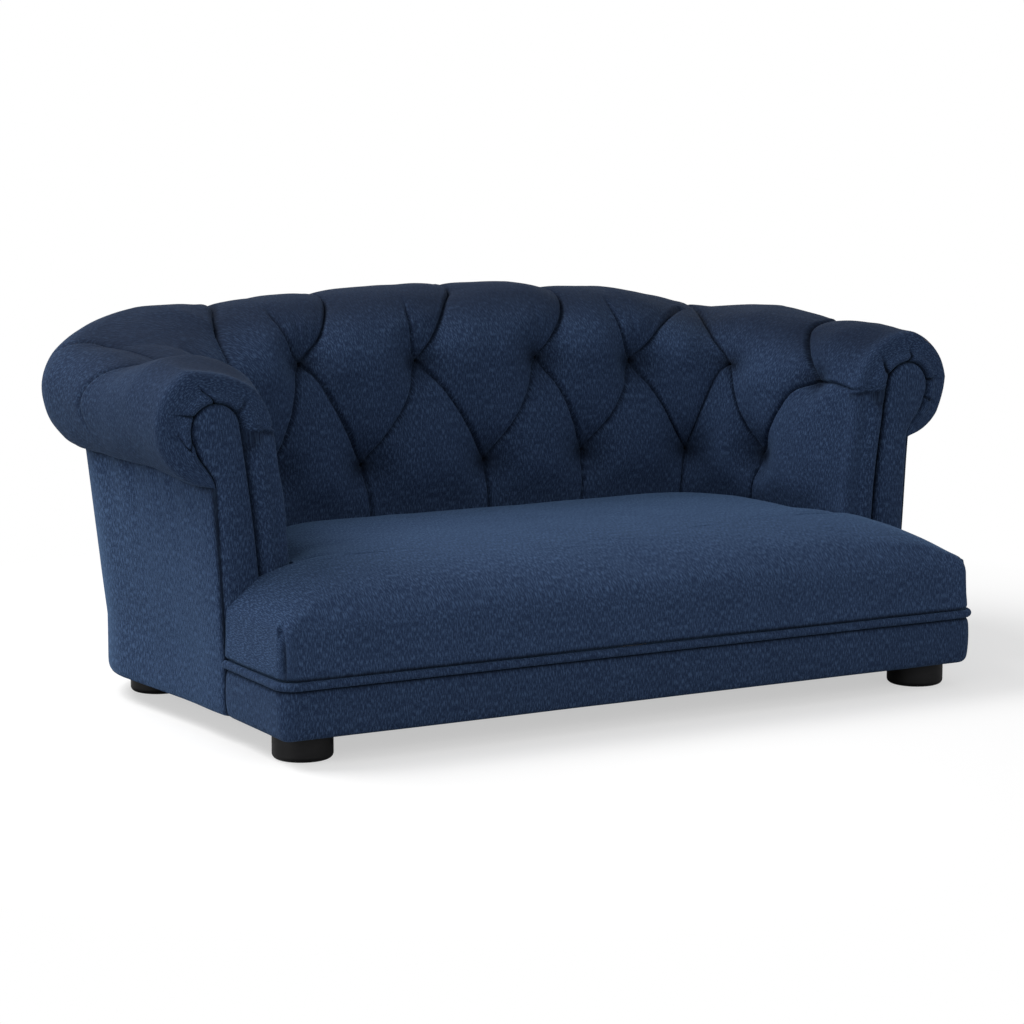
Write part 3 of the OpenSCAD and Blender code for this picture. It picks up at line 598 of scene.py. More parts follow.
# %% Grid of the pad
edge_r, station_step, pull_width = 0.015, 0.0018, 0.0013
core_near, core_share, board_t, board_top = 0.010, 1 / 3, 0.012, 0.300
s_edge = half_len - edge_r
stations = np.linspace(-s_edge, s_edge, int(2 * s_edge / station_step))
places = np.concatenate([
    np.linspace(0, 1, 141)[:-1], np.linspace(1, 2, 82)[:-1], np.linspace(2, 3, 56)[:-1], np.linspace(3, 4, 40)])
s_grid, run_grid = np.meshgrid(stations, run_at(places), indexing="ij")
s_grid[1:-1, 1:-1], run_grid[1:-1, 1:-1] = snap(s_grid[1:-1, 1:-1], run_grid[1:-1, 1:-1], pull_width)
v_grid = np.interp(run_grid, cover_run, range(5))

# Between two pleats of an arm front the cloth is pulled straight, from place to place and by a share
straight = {-1: [(1.46, 2.20, 0.5)], 1: [(1.52, 2.06, 0.1), (2.06, 2.94, 0.25), (2.94, 3.42, 0.5)]}


def pull_straight(s, v, out, up):
    for side, spans in straight.items():
        for low, high, pull in spans:
            share = pull * smooth((side * s - 0.435) / 0.075) * ((v > low) & (v < high))
            t = np.clip((v - low) / (high - low), 0, 1)
            (out_0, up_0), (out_1, up_1) = (section(s, np.full_like(v, place)) for place in (low, high))
            out, up = mix(out, mix(out_0, out_1, t), share), mix(up, mix(up_0, up_1, t), share)
    return out, up


def on_plan(s, out, z):
    """Points outwards from the stations of the inside U, at a height."""
    px, py, direction = plan(np.abs(s))
    sign = np.where(s < 0, -1.0, 1.0)
    return np.stack([sign * (px + out * np.sin(direction)), py + out * np.cos(direction) + front_y,
                     np.broadcast_to(z, s.shape)], axis=-1)


def pad_points(s, v, run):
    out, up = pull_straight(s, v, *section(s, v))
    swell_out, swell_up = facing_out(v)
    height, painted_shade = puff(s, v, run)
    return on_plan(s, out + height * swell_out, up + height * swell_up), painted_shade


def slot_points(s):
    """Hidden inner side of the pad, round the boards."""
    near = core_near + core_share * wall_at(np.abs(s)) - fit
    far = near + board_t + 2 * fit
    corners = ((far, under_z), (far, board_top + fit), (near, board_top + fit), (near, deck_z))
    return np.stack([on_plan(s, out, z) for out, z in corners], axis=1)


skin_points, painted_shade = pad_points(s_grid, v_grid, run_grid)
pad = np.concatenate([skin_points, slot_points(stations)], axis=1)
print("Pad grid", pad.shape)

# %% [markdown]
# ## Roll ends
# The head of each roll is rounded over the board of the arm's front, and its cloth is laid in pleats that run
# in to the facing. Separate wedges of cloth could be lofted and joined. Rings of points that carry the
# section inwards keep the pad and its ends one skin instead, and each pleat is a groove across the rings. Two
# limits keep the skin outside the board: over_board on the way round the edge, and deepest on the front.

# %% Roll ends and pleats
# Pleats of each arm front: place round the facing's edge, half way and at the roll's edge, and strength
low_pleat = (0.96, 0.99, 1.03, 0.6)
pleats = {-1: [(1.42, 1.45, 1.48, 0.5), (2.09, 2.13, 2.20, 1.0), (2.75, 2.78, 2.80, 1.0), (3.42, 3.50, 3.14, 1.0),
               low_pleat],
          1: [(1.36, 1.40, 1.52, 1.0), (2.09, 2.10, 2.06, 1.0), (3.02, 2.98, 2.94, 1.0), (3.52, 3.46, 3.40, 0.8),
              low_pleat]}
head_r, roundness, board_inset, deepest = 0.030, 0.67, 0.006, 0.0038
front_steps = np.concatenate([np.linspace(0, 1, 11)[1:], 1 + np.linspace(0, 1, 27)[1:]])


def pleats_at(side, share):
    """For each pleat: the places' way to it, its strength and whether it is on the roll's head."""
    for rim, middle, outer, strength in pleats[side]:
        place = np.interp(share, [0, 0.5, 1], [outer, middle, rim])
        yield np.abs(places - place) * mix(0.085, 0.055, share), strength, outer > 1.2


def roll_end(side, edge):
    """Rings past the arm's front, from the section's points there, in edge, to the facing."""
    kx, kz = key_line(places)
    ex, ez = np.abs(edge[:, 0]), edge[:, 2]
    length = np.hypot(kx - ex, kz - ez)
    nx, nz = (kx - ex) / length, (kz - ez) / length
    head = smooth((places - 1.35) / 0.5) * (1 - smooth((places - 3.2) / 0.4))
    radius = np.minimum(mix(edge_r, head_r, head), mix(0.5, 0.62, head) * length)
    wide = smooth((length - 0.016) / 0.02)
    sx, sz = section(np.full_like(places, half_len), places)
    over_board = np.maximum((sx + plan(half_len)[0] - ex) * nx + (sz - ez) * nz + board_inset - 0.0012, 0)
    rings, painted_shades = [], []
    for step in front_steps:
        share = max(step - 1, 0.0)
        if step <= 1:
            inwards = radius * (1 - math.cos(step * quarter) ** roundness)
            forward = np.full(len(places), edge_r * math.sin(step * quarter) ** roundness)
            if forward[0] < edge_r - deepest:
                inwards = np.minimum(inwards, over_board)
        else:
            inwards = mix(radius, length, share)
            forward = edge_r + 0.0060 * wide * math.sin(math.pi * share) ** 0.8 - 0.0045 * share ** 8
        dark = np.zeros(len(places))
        for gap, strength, on_head in pleats_at(side, share):
            keep = strength * (smooth((step - 0.7) / 0.5) if on_head else 1) * (1 - 0.7 * share ** 6)
            forward = forward - keep * (0.0048 * bell(gap, 0.0017, 1.3) + 0.0016 * bell(gap, 0.006))
            strength = strength * (smooth((step - 0.9) / 0.4) if on_head else 1)
            # Painted shade in each pleat
            dark = np.maximum(dark, strength * bell(gap, 0.0024))
        if step > 1:
            forward = np.maximum(forward, edge_r - deepest)
        y = arm_front + edge_r - forward
        rings.append(np.stack([side * (ex + nx * inwards), y, ez + nz * inwards], axis=1))
        # Painted shade in the pleats, and along the seam with the facing
        painted_shades.append(np.maximum(dark, 0.7 * share ** 20))
    return rings, painted_shades


def close_ring(ring, side, share):
    """Inner side of the pad's front, which closes on the facing's outer edge."""
    y = mix(arm_front + edge_r, ring[0, 1], share)
    return np.array([(side * leg_out, y, z) for z in (under_z - 0.008, 0.20, 0.14, deck_z)])


def front_rings(side, edge):
    rings, painted_shades = roll_end(side, edge)
    closed = [np.concatenate([ring, close_ring(ring, side, (k + 1) / len(rings))]) for k, ring in enumerate(rings)]
    return closed, painted_shades


left_front, left_painted_shades = front_rings(-1, pad[0, :len(places)])
right_front, right_painted_shades = front_rings(1, pad[-1, :len(places)])
pad = np.concatenate([left_front[::-1], pad, right_front])
painted_shade = np.concatenate([left_painted_shades[::-1], painted_shade, right_painted_shades])
rows, columns = pad.shape[:2]
print("Whole pad grid", pad.shape)

# %% [markdown]
# ## Lumps, weave and painted shade over the roll
# Filling that is packed by hand is never quite even, so a soft noise moves the skin by a millimetre at most.
# A displacement modifier could do it too, but it would also move the hidden inner side. The weave map comes
# from the same two numbers as the shape, so the threads run true over the roll and round its ends.

# %% Lumps of the hand-packed filling
def lumps_at(points, scale, finer):
    """Smooth noise of two sizes at each point."""
    return np.array([noise.noise(Vector(p) * scale) + 0.5 * noise.noise(Vector(p) * finer) for p in points])


lump_height = 0.0011
flat = pad.reshape(-1, 3)
lumps = lumps_at(flat, 17.0, 41.0)
skin = np.tile(np.arange(columns) < len(places), rows)
print("Lumps", float(lumps.min()), float(lumps.max()))

# %% Mesh of the wrap-around pad
roll_head = slice(180, 290)
inner_run = [0.62, 0.64, 0.66, 0.68]
ring_steps = np.linalg.norm(np.diff(pad[rows - len(front_steps) - 1:, roll_head], axis=0), axis=-1).mean(axis=1)
front_run = np.cumsum(ring_steps)
along = np.concatenate([stations[0] - front_run[::-1], stations, stations[-1] + front_run])
across = np.concatenate([run_at(places), inner_run])
weave = np.stack(np.meshgrid(along, across, indexing="ij"), axis=-1).reshape(-1, 2)
faces = grid_faces(rows, columns, closed=True)
for end in (0, rows - 1):
    for tri in geometry.tessellate_polygon([[Vector(pad[end, j]) for j in range(columns)]]):
        faces.append(tuple(end * columns + k for k in tri))
wrap_pad = add_mesh("wrap_around_pad", flat, faces, fabric, weave)
outwards(wrap_pad)
darken(wrap_pad, np.pad(painted_shade, ((0, 0), (0, columns - painted_shade.shape[1]))).ravel())
# Painted shade over the top of the roll, fading out round the arm fronts, because the lamps leave the roll too
# light
over = smooth((run_at(places) - 0.27) / 0.08) * (1 - 0.55 * smooth((run_at(places) - 0.40) / 0.07))
past_edge = np.maximum(np.abs(along) - s_edge + 0.012, 0) / (front_run[-1] + 0.012)
painted_roll_shade = np.pad(over, (0, columns - len(over)))[None, :] * (1 - smooth(past_edge * 1.6))[:, None]
darken(wrap_pad, painted_roll_shade.ravel(), "painted_roll_shade")
moved = flat + vertex_values(wrap_pad.data, "normal") * (lumps * lump_height * skin)[:, None]
wrap_pad.data.vertices.foreach_set("co", moved.ravel())
wrap_pad.data.update()
dress(wrap_pad, "navy_fabric", "tufted_back", "left_tufted_arm", "right_tufted_arm", "left_roll_end",
      "right_roll_end")

# %% [markdown]
# ## Keyhole facings
# A facing is a thin padded panel that covers the arm's front edge. It is crowned a little, and its edge is
# turned in so that it meets the pleats in a seam, dark from its turn and from painted shade. Rows of points
# across the panel, from the seat up to the top of its round head, make it without any pole in the middle.

# %% Facings
fullness, crown, turned_in = 0.0066, 0.0026, 0.0030


def make_facing(name, side):
    head = key_z + key_r * np.sin(np.linspace(0, quarter, 26))
    rise = np.concatenate([np.linspace(deck_z, key_z, 70)[:-1], head])
    span_shares = (1 - np.cos(np.linspace(0, math.pi, 31))) / 2
    rows, columns = len(rise), len(span_shares)
    points, weave, painted_shades = [], [], []
    for z in rise:
        low, high = facing_sides(np.array([z]))
        for share in span_shares:
            x = mix(low[0], high[0], share)
            gap = min(x - low[0], high[0] - x, max(key_z + key_r - z, 0) + 1e-4)
            raised = fullness * (1 - math.exp(-max(gap, 0) / turned_in)) + crown * math.sin(math.pi * share)
            raised += 0.0004 * noise.noise(Vector((x * 30, z * 22, 5.0 * side)))
            points.append((side * x, arm_front + 0.0012 - raised, z))
            weave.append((side * x, z))
            # Painted shade along the facing's turned-in edge
            painted_shades.append(0.7 * bell(gap, 0.0011))
    faces = grid_faces(rows, columns)
    back = rows * columns
    for i in range(rows):
        for x, _, z in (points[i * columns], points[i * columns + columns - 1]):
            points.append((x, arm_front + deepest, z))
            weave.append((x, z))
    for i in range(rows - 1):
        a, b = back + 2 * i, back + 2 * i + 2
        faces.append((i * columns, (i + 1) * columns, b, a))
        faces.append((i * columns + columns - 1, a + 1, b + 1, (i + 1) * columns + columns - 1))
        faces.append((a, b, b + 1, a + 1))
    faces.append(tuple(range(columns)) + (back + 1, back))
    faces.append(tuple(range(back - 1, back - columns - 1, -1)) + (back + 2 * rows - 2, back + 2 * rows - 1))
    piece = add_mesh(name, points, faces, fabric, weave)
    darken(piece, painted_shades + [1.0] * (len(points) - back))
    outwards(piece)
    dress(piece, "navy_fabric", name.replace("_cover", ""))


make_facing("left_facing_cover", -1)
make_facing("right_facing_cover", 1)

# %% [markdown]
# ## Outside panels
# The outside is covered with flat panels over the boards. They are pulled up under the roll, where the spare
# cloth makes small gathers, and their upright edges are turned in at the seams.

# %% Panels
seam_s, panel_h, turned_edge = 0.245, 0.23, 0.0025


def ripple(line, scale, *rest):
    """Smooth noise along a line of stations or lengths."""
    return np.array([noise.noise(Vector((k * scale, *rest))) for k in line])


def tube_faces(rows, count):
    """Faces of a flat tube: the rows of points go round it, and each end is closed by one face."""
    faces = [(i * count + j, i * count + j + 1, (i + 1) % rows * count + j + 1, (i + 1) % rows * count + j)
             for i in range(rows) for j in range(count - 1)]
    return faces + [tuple(i * count for i in range(rows)), tuple(i * count - 1 for i in range(rows, 0, -1))]


def make_panel(name, s0, s1, replaced):
    count = max(8, int(abs(s1 - s0) / 0.004))
    s = np.linspace(s0, s1, count)
    rise = np.concatenate([[0], np.linspace(0.009, 0.982, 56), [1]])
    a = np.abs(s)
    foot, lean, top = wall_at(a), lean_at(a), under_at(a)
    seam = 0.0026 * np.exp(-np.minimum(np.abs(s - s0), np.abs(s - s1)) / turned_edge)
    layers = []
    for step in rise:
        z = mix(foot_h, top, step)
        share = np.clip((z - deck_z) / (under_z - deck_z), 0, 1.1)
        u = foot + lean * share - seam - 0.003 * math.exp(-step * panel_h / turned_edge)
        u = u + 0.0036 * ripple(s, 55.0, step * 1.6, 2.0) * math.exp(-(1 - step) * panel_h / 0.045)
        layers.append(on_plan(s, u + 0.0012 * ripple(s, 9.0, step * 2.1, 8.0), z))
    plain = reach(wall_path, *plan(a))
    for step, wall in ((1, plain + lean), (0.25, plain), (0, plain)):
        layers.append(on_plan(s, wall - cover_t, mix(foot_h, top, step)))
    grid = np.array(layers)
    weave = [(k, panel_h * step) for step in [*rise, 1.03, 1.4, 1.7] for k in s]
    piece = add_mesh(name, grid.reshape(-1, 3), tube_faces(len(grid), count), panel_fabric, weave)
    outwards(piece)
    # Painted shade under the roll's edge and in the turned-in seams
    at_ends = np.isin(np.arange(count), (0, count - 1))
    tops = np.append(bell((1 - rise) * panel_h, 0.006), [1, 1, 1])
    darken(piece, np.maximum(0.7 * tops[:, None], 0.8 * at_ends).ravel())
    dress(piece, "border_fabric", replaced)


make_panel("left_outside_cover", -seam_s, -half_len, "left_outside_panel")
make_panel("right_outside_cover", seam_s, half_len, "right_outside_panel")
make_panel("outside_back_cover", -seam_s, seam_s, "outside_back_panel")

# %% [markdown]
# ## Front border and welt
# A band of cloth goes round the front of the base, and a welt, a cord in a sleeve of the same cloth, closes
# the joint with the seat. Both follow one line: along a side, round the corner and along the front.

# %% Line round the front of the base
def front_line(offset, step=0.004, radius=corner_r):
    """Points and outward directions round the front of the base, from the left side to the right."""
    w, corner_room = base_w / 2, 0.036
    left = [(-w, y, -1.0, 0.0) for y in np.linspace(setback - fit, corner_room, 26)]
    left += [(-w + radius - radius * math.cos(t), radius - radius * math.sin(t), -math.cos(t), -math.sin(t))
             for t in np.linspace(0, quarter, 25)]
    front = [(x, 0.0, 0.0, -1.0) for x in np.linspace(-w + corner_room, w - corner_room, int(base_w / step))]
    marks = np.array(left + front + [(-x, y, -nx, ny) for x, y, nx, ny in reversed(left)])
    reached = np.concatenate([[0], np.cumsum(np.hypot(*np.diff(marks[:, :2], axis=0).T))])
    return marks[:, :2] + marks[:, 2:] * offset, marks[:, 2:], reached - reached[-1] / 2


border_top = deck_z - 2 * fit - 2 * welt_r
print("Length round the front:", round(2 * float(front_line(0.0)[2][-1]), 3))


# %% Border and welt
low_radii = (0.010, 0.020)


def make_border():
    base, out, reached = front_line(0.0)
    count = len(base)
    ends = np.minimum(reached - reached[0], reached[-1] - reached)
    rise = np.concatenate([[foot_h], np.linspace(foot_h + 0.0012, border_top - 0.0008, 26), [border_top]])
    layers = []
    for z in rise:
        share = (z - foot_h) / (border_top - foot_h)
        # At the foot the left corner is tighter and the right one a little wider, as sewn by hand
        left, right = (front_line(0.0, radius=mix(low, corner_r, share ** 0.8))[0] for low in low_radii)
        points = np.where(base[:, :1] < 0, left, right)
        edge = min(z - foot_h, border_top - z)
        bulge, tuck = 0.0014 * math.sin(math.pi * share), 0.0036 * math.exp(-edge / 0.0022)
        push = bulge - tuck - 0.0022 * np.exp(-ends / 0.003) + 0.0009 * ripple(reached, 11.0, z * 14.0, 1.0)
        layers.append(np.column_stack([points + out * push[:, None], np.full(count, z)]))
    for z in (border_top, foot_h):
        layers.append(np.column_stack([base - out * cover_t, np.full(count, z)]))
    grid = np.array(layers)
    grid[:, :, 1] += front_y
    weave = [(k, z) for z in [*rise, 0.12, 0.16] for k in reached]
    piece = add_mesh("front_border_cover", grid.reshape(-1, 3), tube_faces(len(grid), count), fabric, weave)
    outwards(piece)
    # Painted shade under the welt and at the turned-in ends
    tops = np.append(bell(border_top - rise, 0.0022), [1, 1])
    darken(piece, np.maximum(0.9 * tops[:, None], 0.8 * bell(ends, 0.002)).ravel())
    dress(piece, "border_fabric", "front_border")


def make_welt():
    """The cord in its sleeve, with the sleeve's flat flange running in between seat and border."""
    points, out, reached = front_line(welt_proud - welt_r, 0.0025)
    welt_z = deck_z - fit - welt_r
    flange = ((-0.0049, -0.0036), (-0.0056, -0.0036), (-0.0056, 0.0042), (-0.0032, 0.0042))
    round_points, rings, weave = 20, [], []
    ring = round_points + len(flange)
    for (x, y), (nx, ny), run in zip(points, out, reached):
        for j in range(ring):
            t = 0.75 * math.pi - 1.5 * math.pi * j / (round_points - 1)
            r = welt_r * (1 + 0.03 * noise.noise(Vector((run * 90.0, math.cos(t), math.sin(t)))))
            side, up = flange[j - round_points] if j >= round_points else (r * math.cos(t), r * math.sin(t))
            rings.append((x + nx * side, y + ny * side + front_y, welt_z + up))
            weave.append((run, t * welt_r + 0.3 * run))
    faces = grid_faces(len(points), ring, closed=True)
    faces += [tuple(range(ring)), tuple(len(rings) - 1 - j for j in range(ring))]
    piece = add_mesh("welt_cord", rings, faces, fabric, weave)
    outwards(piece)
    dress(piece, "border_fabric", "welt")


make_border()
make_welt()

# %% [markdown]
# ## Seat
# The seat is one tight, crowned cushion shaped like a T. Its cloth is pulled down over the front and the two
# ends, with a sewn dart at each front corner. A Cloth simulation with pressure makes the crown, because foam
# under tight cloth swells just as a filled skin does.

# %% Outline of the seat
seat_edge, seat_top, seat_round, end_square = 0.138, 0.181, 0.016, 0.006
# How fast the crown rises from the front and from the ends, and how the pads round it press it down
front_fall, end_fall, press_depth, press_width = 0.058, 0.034, 0.009, 0.026
pad_gap = 0.0243


def seat_outline(step=0.006):
    w, r, ear = base_w / 2, corner_r, setback - fit
    run, back, radius = back_run, back_y - pad_gap, inside_r - pad_gap
    knee = (run + radius * math.sin(splay), back - radius + radius * math.cos(splay))
    slope = math.cos(splay) / math.sin(splay)
    half = [(0.0, 0.0)]

    def go(x, y):
        x0, y0 = half[-1]
        n = max(1, round(math.hypot(x - x0, y - y0) / step))
        half.extend([(mix(x0, x, i / n), mix(y0, y, i / n)) for i in range(1, n + 1)])

    go(w - r, 0.0)
    for t in np.linspace(0, quarter, 13)[1:]:
        half.append((w - r + r * math.sin(t), r - r * math.cos(t)))
    go(w, ear)
    go(knee[0] + (knee[1] - ear) * slope, ear)
    go(*knee)
    for t in np.linspace(splay, 0, 22)[1:]:
        half.append((run + radius * math.sin(t), back - radius + radius * math.cos(t)))
    go(0.0, back)
    return np.array(half + [(-x, y) for x, y in reversed(half[1:-1])])


outline = seat_outline()
core = np.array([0.0, 0.100])
print("Seat outline", len(outline), "points")


# %% Height of the seat
def seat_height(p, ring):
    x, y = np.abs(p[..., 0]), p[..., 1]
    side_gap = base_w / 2 - x
    deep = np.stack([corner_r - side_gap, corner_r - y], axis=-1)
    in_corner = (deep > 0).all(axis=-1)
    gap = np.where(in_corner, corner_r - np.linalg.norm(deep, axis=-1), np.minimum(side_gap + end_square, y))
    gap = np.where(y > setback - fit, seat_round, np.clip(gap, 0, seat_round))
    drop = 0.8 * (seat_round - np.sqrt(seat_round ** 2 - (seat_round - gap) ** 2))
    side = 1 - np.exp(-side_gap / end_fall)
    front = 1 - np.exp(-y / front_fall)
    near_pads = smooth((y - setback) / 0.05) * np.exp(-(1 - ring) * inside_r * 2 / press_width)
    return seat_edge + (seat_top - seat_edge) * side * front / 0.96 - drop - press_depth * near_pads


def domed_faces(rows, columns):
    """Faces of a closed grid whose first and last rows each meet in one more point."""
    faces = grid_faces(rows, columns, closed=True)
    for j in range(columns):
        k, last = (j + 1) % columns, (rows - 1) * columns
        faces.append((k, j, rows * columns))
        faces.append((last + j, last + k, rows * columns + 1))
    return faces


layers = []
inwards = (core - outline) / np.linalg.norm(core - outline, axis=1)[:, None]
for lift, tuck in ((0.0, 0.0044), (0.0010, 0.0024), (0.0028, 0.0008), (0.0060, 0.0)):
    layers.append(np.column_stack([outline + inwards * tuck, np.full(len(outline), deck_z + lift)]))
for share in (0.33, 0.6, 0.85):
    layers.append(np.column_stack([outline, mix(deck_z, seat_height(outline, 1.0), share)]))
for ring in [1, 0.994, 0.987, 0.979, 0.970, 0.960, 0.948, 0.934, 0.918, 0.90, *np.linspace(0.88, 0.06, 36)]:
    p = core + (outline - core) * ring
    layers.append(np.column_stack([p, seat_height(p, ring)]))
seat_grid = np.array(layers)
seat_grid[:, :, 1] += front_y
rows, columns = seat_grid.shape[:2]
poles = [(0, core[1] + front_y, deck_z), (0, core[1] + front_y, float(seat_height(core, 0.0)))]
seat = add_mesh("seat_cushion_cover", [*seat_grid.reshape(-1, 3), *poles], domed_faces(rows, columns), seat_fabric)
outwards(seat)

# %% [markdown]
# ## Crown of the seat
# The simulation only runs for 20 frames, because a tight seat moves little, and no point may go further than
# 4 mm. A tight seat has no small wrinkles either, so they are evened out of the movement. Then the grid is
# made twice as fine, and the darts, which are narrower than its old step, are sunk into it.

# %% Puff the seat with Cloth
def even_out(move):
    """The movement of the seat's grid without its small wrinkles."""
    move = move.reshape(rows, columns, 3)
    for _ in range(30):
        padded = np.concatenate([move[:1], move, move[-1:]])
        move = 0.5 * move + 0.125 * (padded[:-2] + padded[2:] + np.roll(move, 1, 1) + np.roll(move, -1, 1))
    return move.reshape(-1, 3)


def puff_with_cloth(piece, pressure, cap, pinned):
    rest = vertex_values(piece.data, "co")
    group = piece.vertex_groups.new(name="held")
    group.add([int(i) for i in np.nonzero(pinned)[0]], 1.0, "REPLACE")
    cloth = piece.modifiers.new("cloth", "CLOTH")
    for name, value in {"vertex_group_mass": "held", "quality": 6, "mass": 0.3, "tension_stiffness": 18,
                        "compression_stiffness": 14, "bending_stiffness": 1.2, "use_pressure": True,
                        "uniform_pressure_force": pressure}.items():
        setattr(cloth.settings, name, value)
    cloth.settings.effector_weights.gravity = 0.0
    cloth.collision_settings.use_collision = False
    scene = bpy.context.scene
    for step in range(1, 21):
        scene.frame_set(step)
    move = vertex_values(piece.evaluated_get(bpy.context.evaluated_depsgraph_get()).data, "co") - rest
    piece.modifiers.remove(cloth)
    scene.frame_set(1)
    move = np.concatenate([even_out(move[:-2]), move[-2:]])
    size = np.linalg.norm(move, axis=1)
    keep = cap * np.tanh(size / cap) / np.maximum(size, 1e-9)
    piece.data.vertices.foreach_set("co", (rest + move * keep[:, None]).ravel())
    piece.data.update()
    print(piece.name, "moved up to", round(float(size.max()) * 1000, 1), "mm, kept",
          round(float((size * keep).max()) * 1000, 1), "mm")


pressure, most_move, held_height = 4.0, 0.004, 0.012
puff_with_cloth(seat, pressure, most_move, vertex_values(seat.data, "co")[:, 2] < deck_z + held_height)


# %% Make the seat finer
def midpoints(grid, axis, closed):
    """Twice as many rows or columns, the new ones on smooth curves through the old ones."""
    grid = np.moveaxis(grid, axis, 0)
    if closed:
        before, after, beyond = np.roll(grid, 1, 0), np.roll(grid, -1, 0), np.roll(grid, -2, 0)
    else:
        before = np.concatenate([grid[:1], grid[:-1]])
        after = np.concatenate([grid[1:], grid[-1:]])
        beyond = np.concatenate([grid[2:], grid[-1:], grid[-1:]])
    between = (9 * (grid + after) - before - beyond) / 16
    finer = np.stack([grid, between], axis=1).reshape(-1, *grid.shape[1:])
    return np.moveaxis(finer if closed else finer[:-1], 0, axis)


coarse = vertex_values(seat.data, "co")
fine = midpoints(midpoints(coarse[:-2].reshape(rows, columns, 3), 1, True), 0, False)
bpy.data.objects.remove(seat)
seat = add_mesh("seat_cushion_cover", [*fine.reshape(-1, 3), *coarse[-2:]], domed_faces(*fine.shape[:2]),
                seat_fabric)
outwards(seat)

# %% Sink the darts and lay the weave
dart_x, dart_depth, dart_width, seat_lump = base_w / 2 - corner_r * 0.30, 0.0030, 0.0016, 0.0008
p, n = vertex_values(seat.data, "co"), vertex_values(seat.data, "normal")
dart_gap = np.abs(p[:, 0]) - dart_x
on_front = smooth((front_y + 0.045 - p[:, 1]) / 0.03) * smooth((seat_edge + 0.002 - p[:, 2]) / 0.010)
off_welt = smooth((p[:, 2] - deck_z - 0.004) / 0.008)
groove = dart_depth * bell(dart_gap, dart_width) - 0.0010 * bell(np.abs(dart_gap) - 0.006, 0.004)
p = p - n * (groove * on_front * off_welt - seat_lump * lumps_at(p, 12.0, 30.0))[:, None]
seat.data.vertices.foreach_set("co", p.ravel())
# On the sides the threads run down, so the height that a point has dropped is laid off outwards
side_share = np.linalg.norm(n[:, :2], axis=1)
dropped = np.maximum(0, seat_edge - p[:, 2]) * smooth((side_share - 0.3) / 0.5)
lay_weave(seat.data, p[:, :2] + n[:, :2] / np.maximum(side_share, 1e-6)[:, None] * dropped[:, None])
seat.data.update()
# Painted shade where the seat tucks in under the welt, and in each dart
in_dart = 0.6 * on_front * smooth((seat_edge - 0.012 - p[:, 2]) / 0.012) * bell(dart_gap, 0.0014)
darken(seat, np.maximum(0.9 * bell(np.maximum(p[:, 2] - deck_z - 0.001, 0), 0.0022), in_dart))
dress(seat, "navy_fabric", "seat_cushion")
print("Seat", len(p), "points")

# %% [markdown]
# ## Finishes of the frame, the feet and the dust cover
# The hard parts keep their CAD shape and only get a finish: pine and plywood with their grain, bright zinc,
# black lacquer on the feet and a matt bonded cloth under the base. Their patterns read Object coordinates,
# which are the same for every part because each object sits at the origin.

# %% Plain finishes
def make_finish(name, dark, light, stretch, roughness, bump, **more):
    material, tree, shader = new_material(name)
    coordinates = node(tree, "ShaderNodeTexCoord")
    place = node(tree, "ShaderNodeMapping", {"Vector": coordinates.outputs["Object"], "Scale": stretch})
    grain = node(tree, "ShaderNodeTexNoise", {
        "Vector": place.outputs["Vector"], "Scale": 1.0, "Detail": 4.0}).outputs["Fac"]
    colour = blend(tree, span(tree, grain, 0.35, 0.65), (*dark, 1), (*light, 1))
    set_inputs(tree, shader, {"Base Color": colour, "Roughness": roughness})
    set_inputs(tree, shader, {name.replace("_", " "): value for name, value in more.items()})
    add_bump(tree, shader, grain, 0.4, bump)
    return material


pine = make_finish("pine", (0.46, 0.30, 0.15), (0.66, 0.48, 0.28), (8, 160, 160), 0.75, 0.0004)
plywood = make_finish("plywood", (0.40, 0.28, 0.16), (0.56, 0.42, 0.26), (12, 12, 420), 0.7, 0.0003)
zinc = make_finish("zinc_plate", (0.42, 0.43, 0.45), (0.62, 0.63, 0.65), (90, 90, 90), 0.35, 0.0001, Metallic=1.0)
black = make_finish("black_lacquer", (0.0030, 0.0030, 0.0038), (0.005, 0.005, 0.006), (60, 60, 220), 0.50, 0.00012,
                    Specular_IOR_Level=0.22)
nonwoven = make_finish("nonwoven_cloth", (0.010, 0.010, 0.011), (0.026, 0.026, 0.028), (700, 700, 700), 0.95,
                       0.0004)
finishes = {
    pine: ["front_rail", "rear_rail", "left_side_rail", "right_side_rail", "centre_rails", "corner_blocks"],
    plywood: ["seat_deck", "back_board", "left_arm_board", "right_arm_board", "left_corner_board",
              "right_corner_board", "left_front_board", "right_front_board"],
    zinc: ["deck_screws", "foot_nuts", "foot_bolts"],
    black: ["front_left_foot", "front_right_foot", "rear_left_foot", "rear_right_foot"],
    nonwoven: ["dust_cover"]}
for finish, names in finishes.items():
    for name in names:
        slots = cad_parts[name].data.materials
        slots.clear()
        slots.append(finish)
print("Finishes on", sum(len(names) for names in finishes.values()), "CAD parts")

# %% [markdown]
# ## Staples of the dust cover
# The dust cover under the base is held by staples, one every 30 mm round its edge and each a little askew.
# Geometry Nodes suits them: the edge is a curve, the curve is cut into even steps, and a staple stands on
# each step, turned along the edge. The tree ends in one plain mesh.

# %% Staples along a curve
staple_step, staple_inset, staple_askew, staple_seed = 0.030, 0.011, 0.12, 7


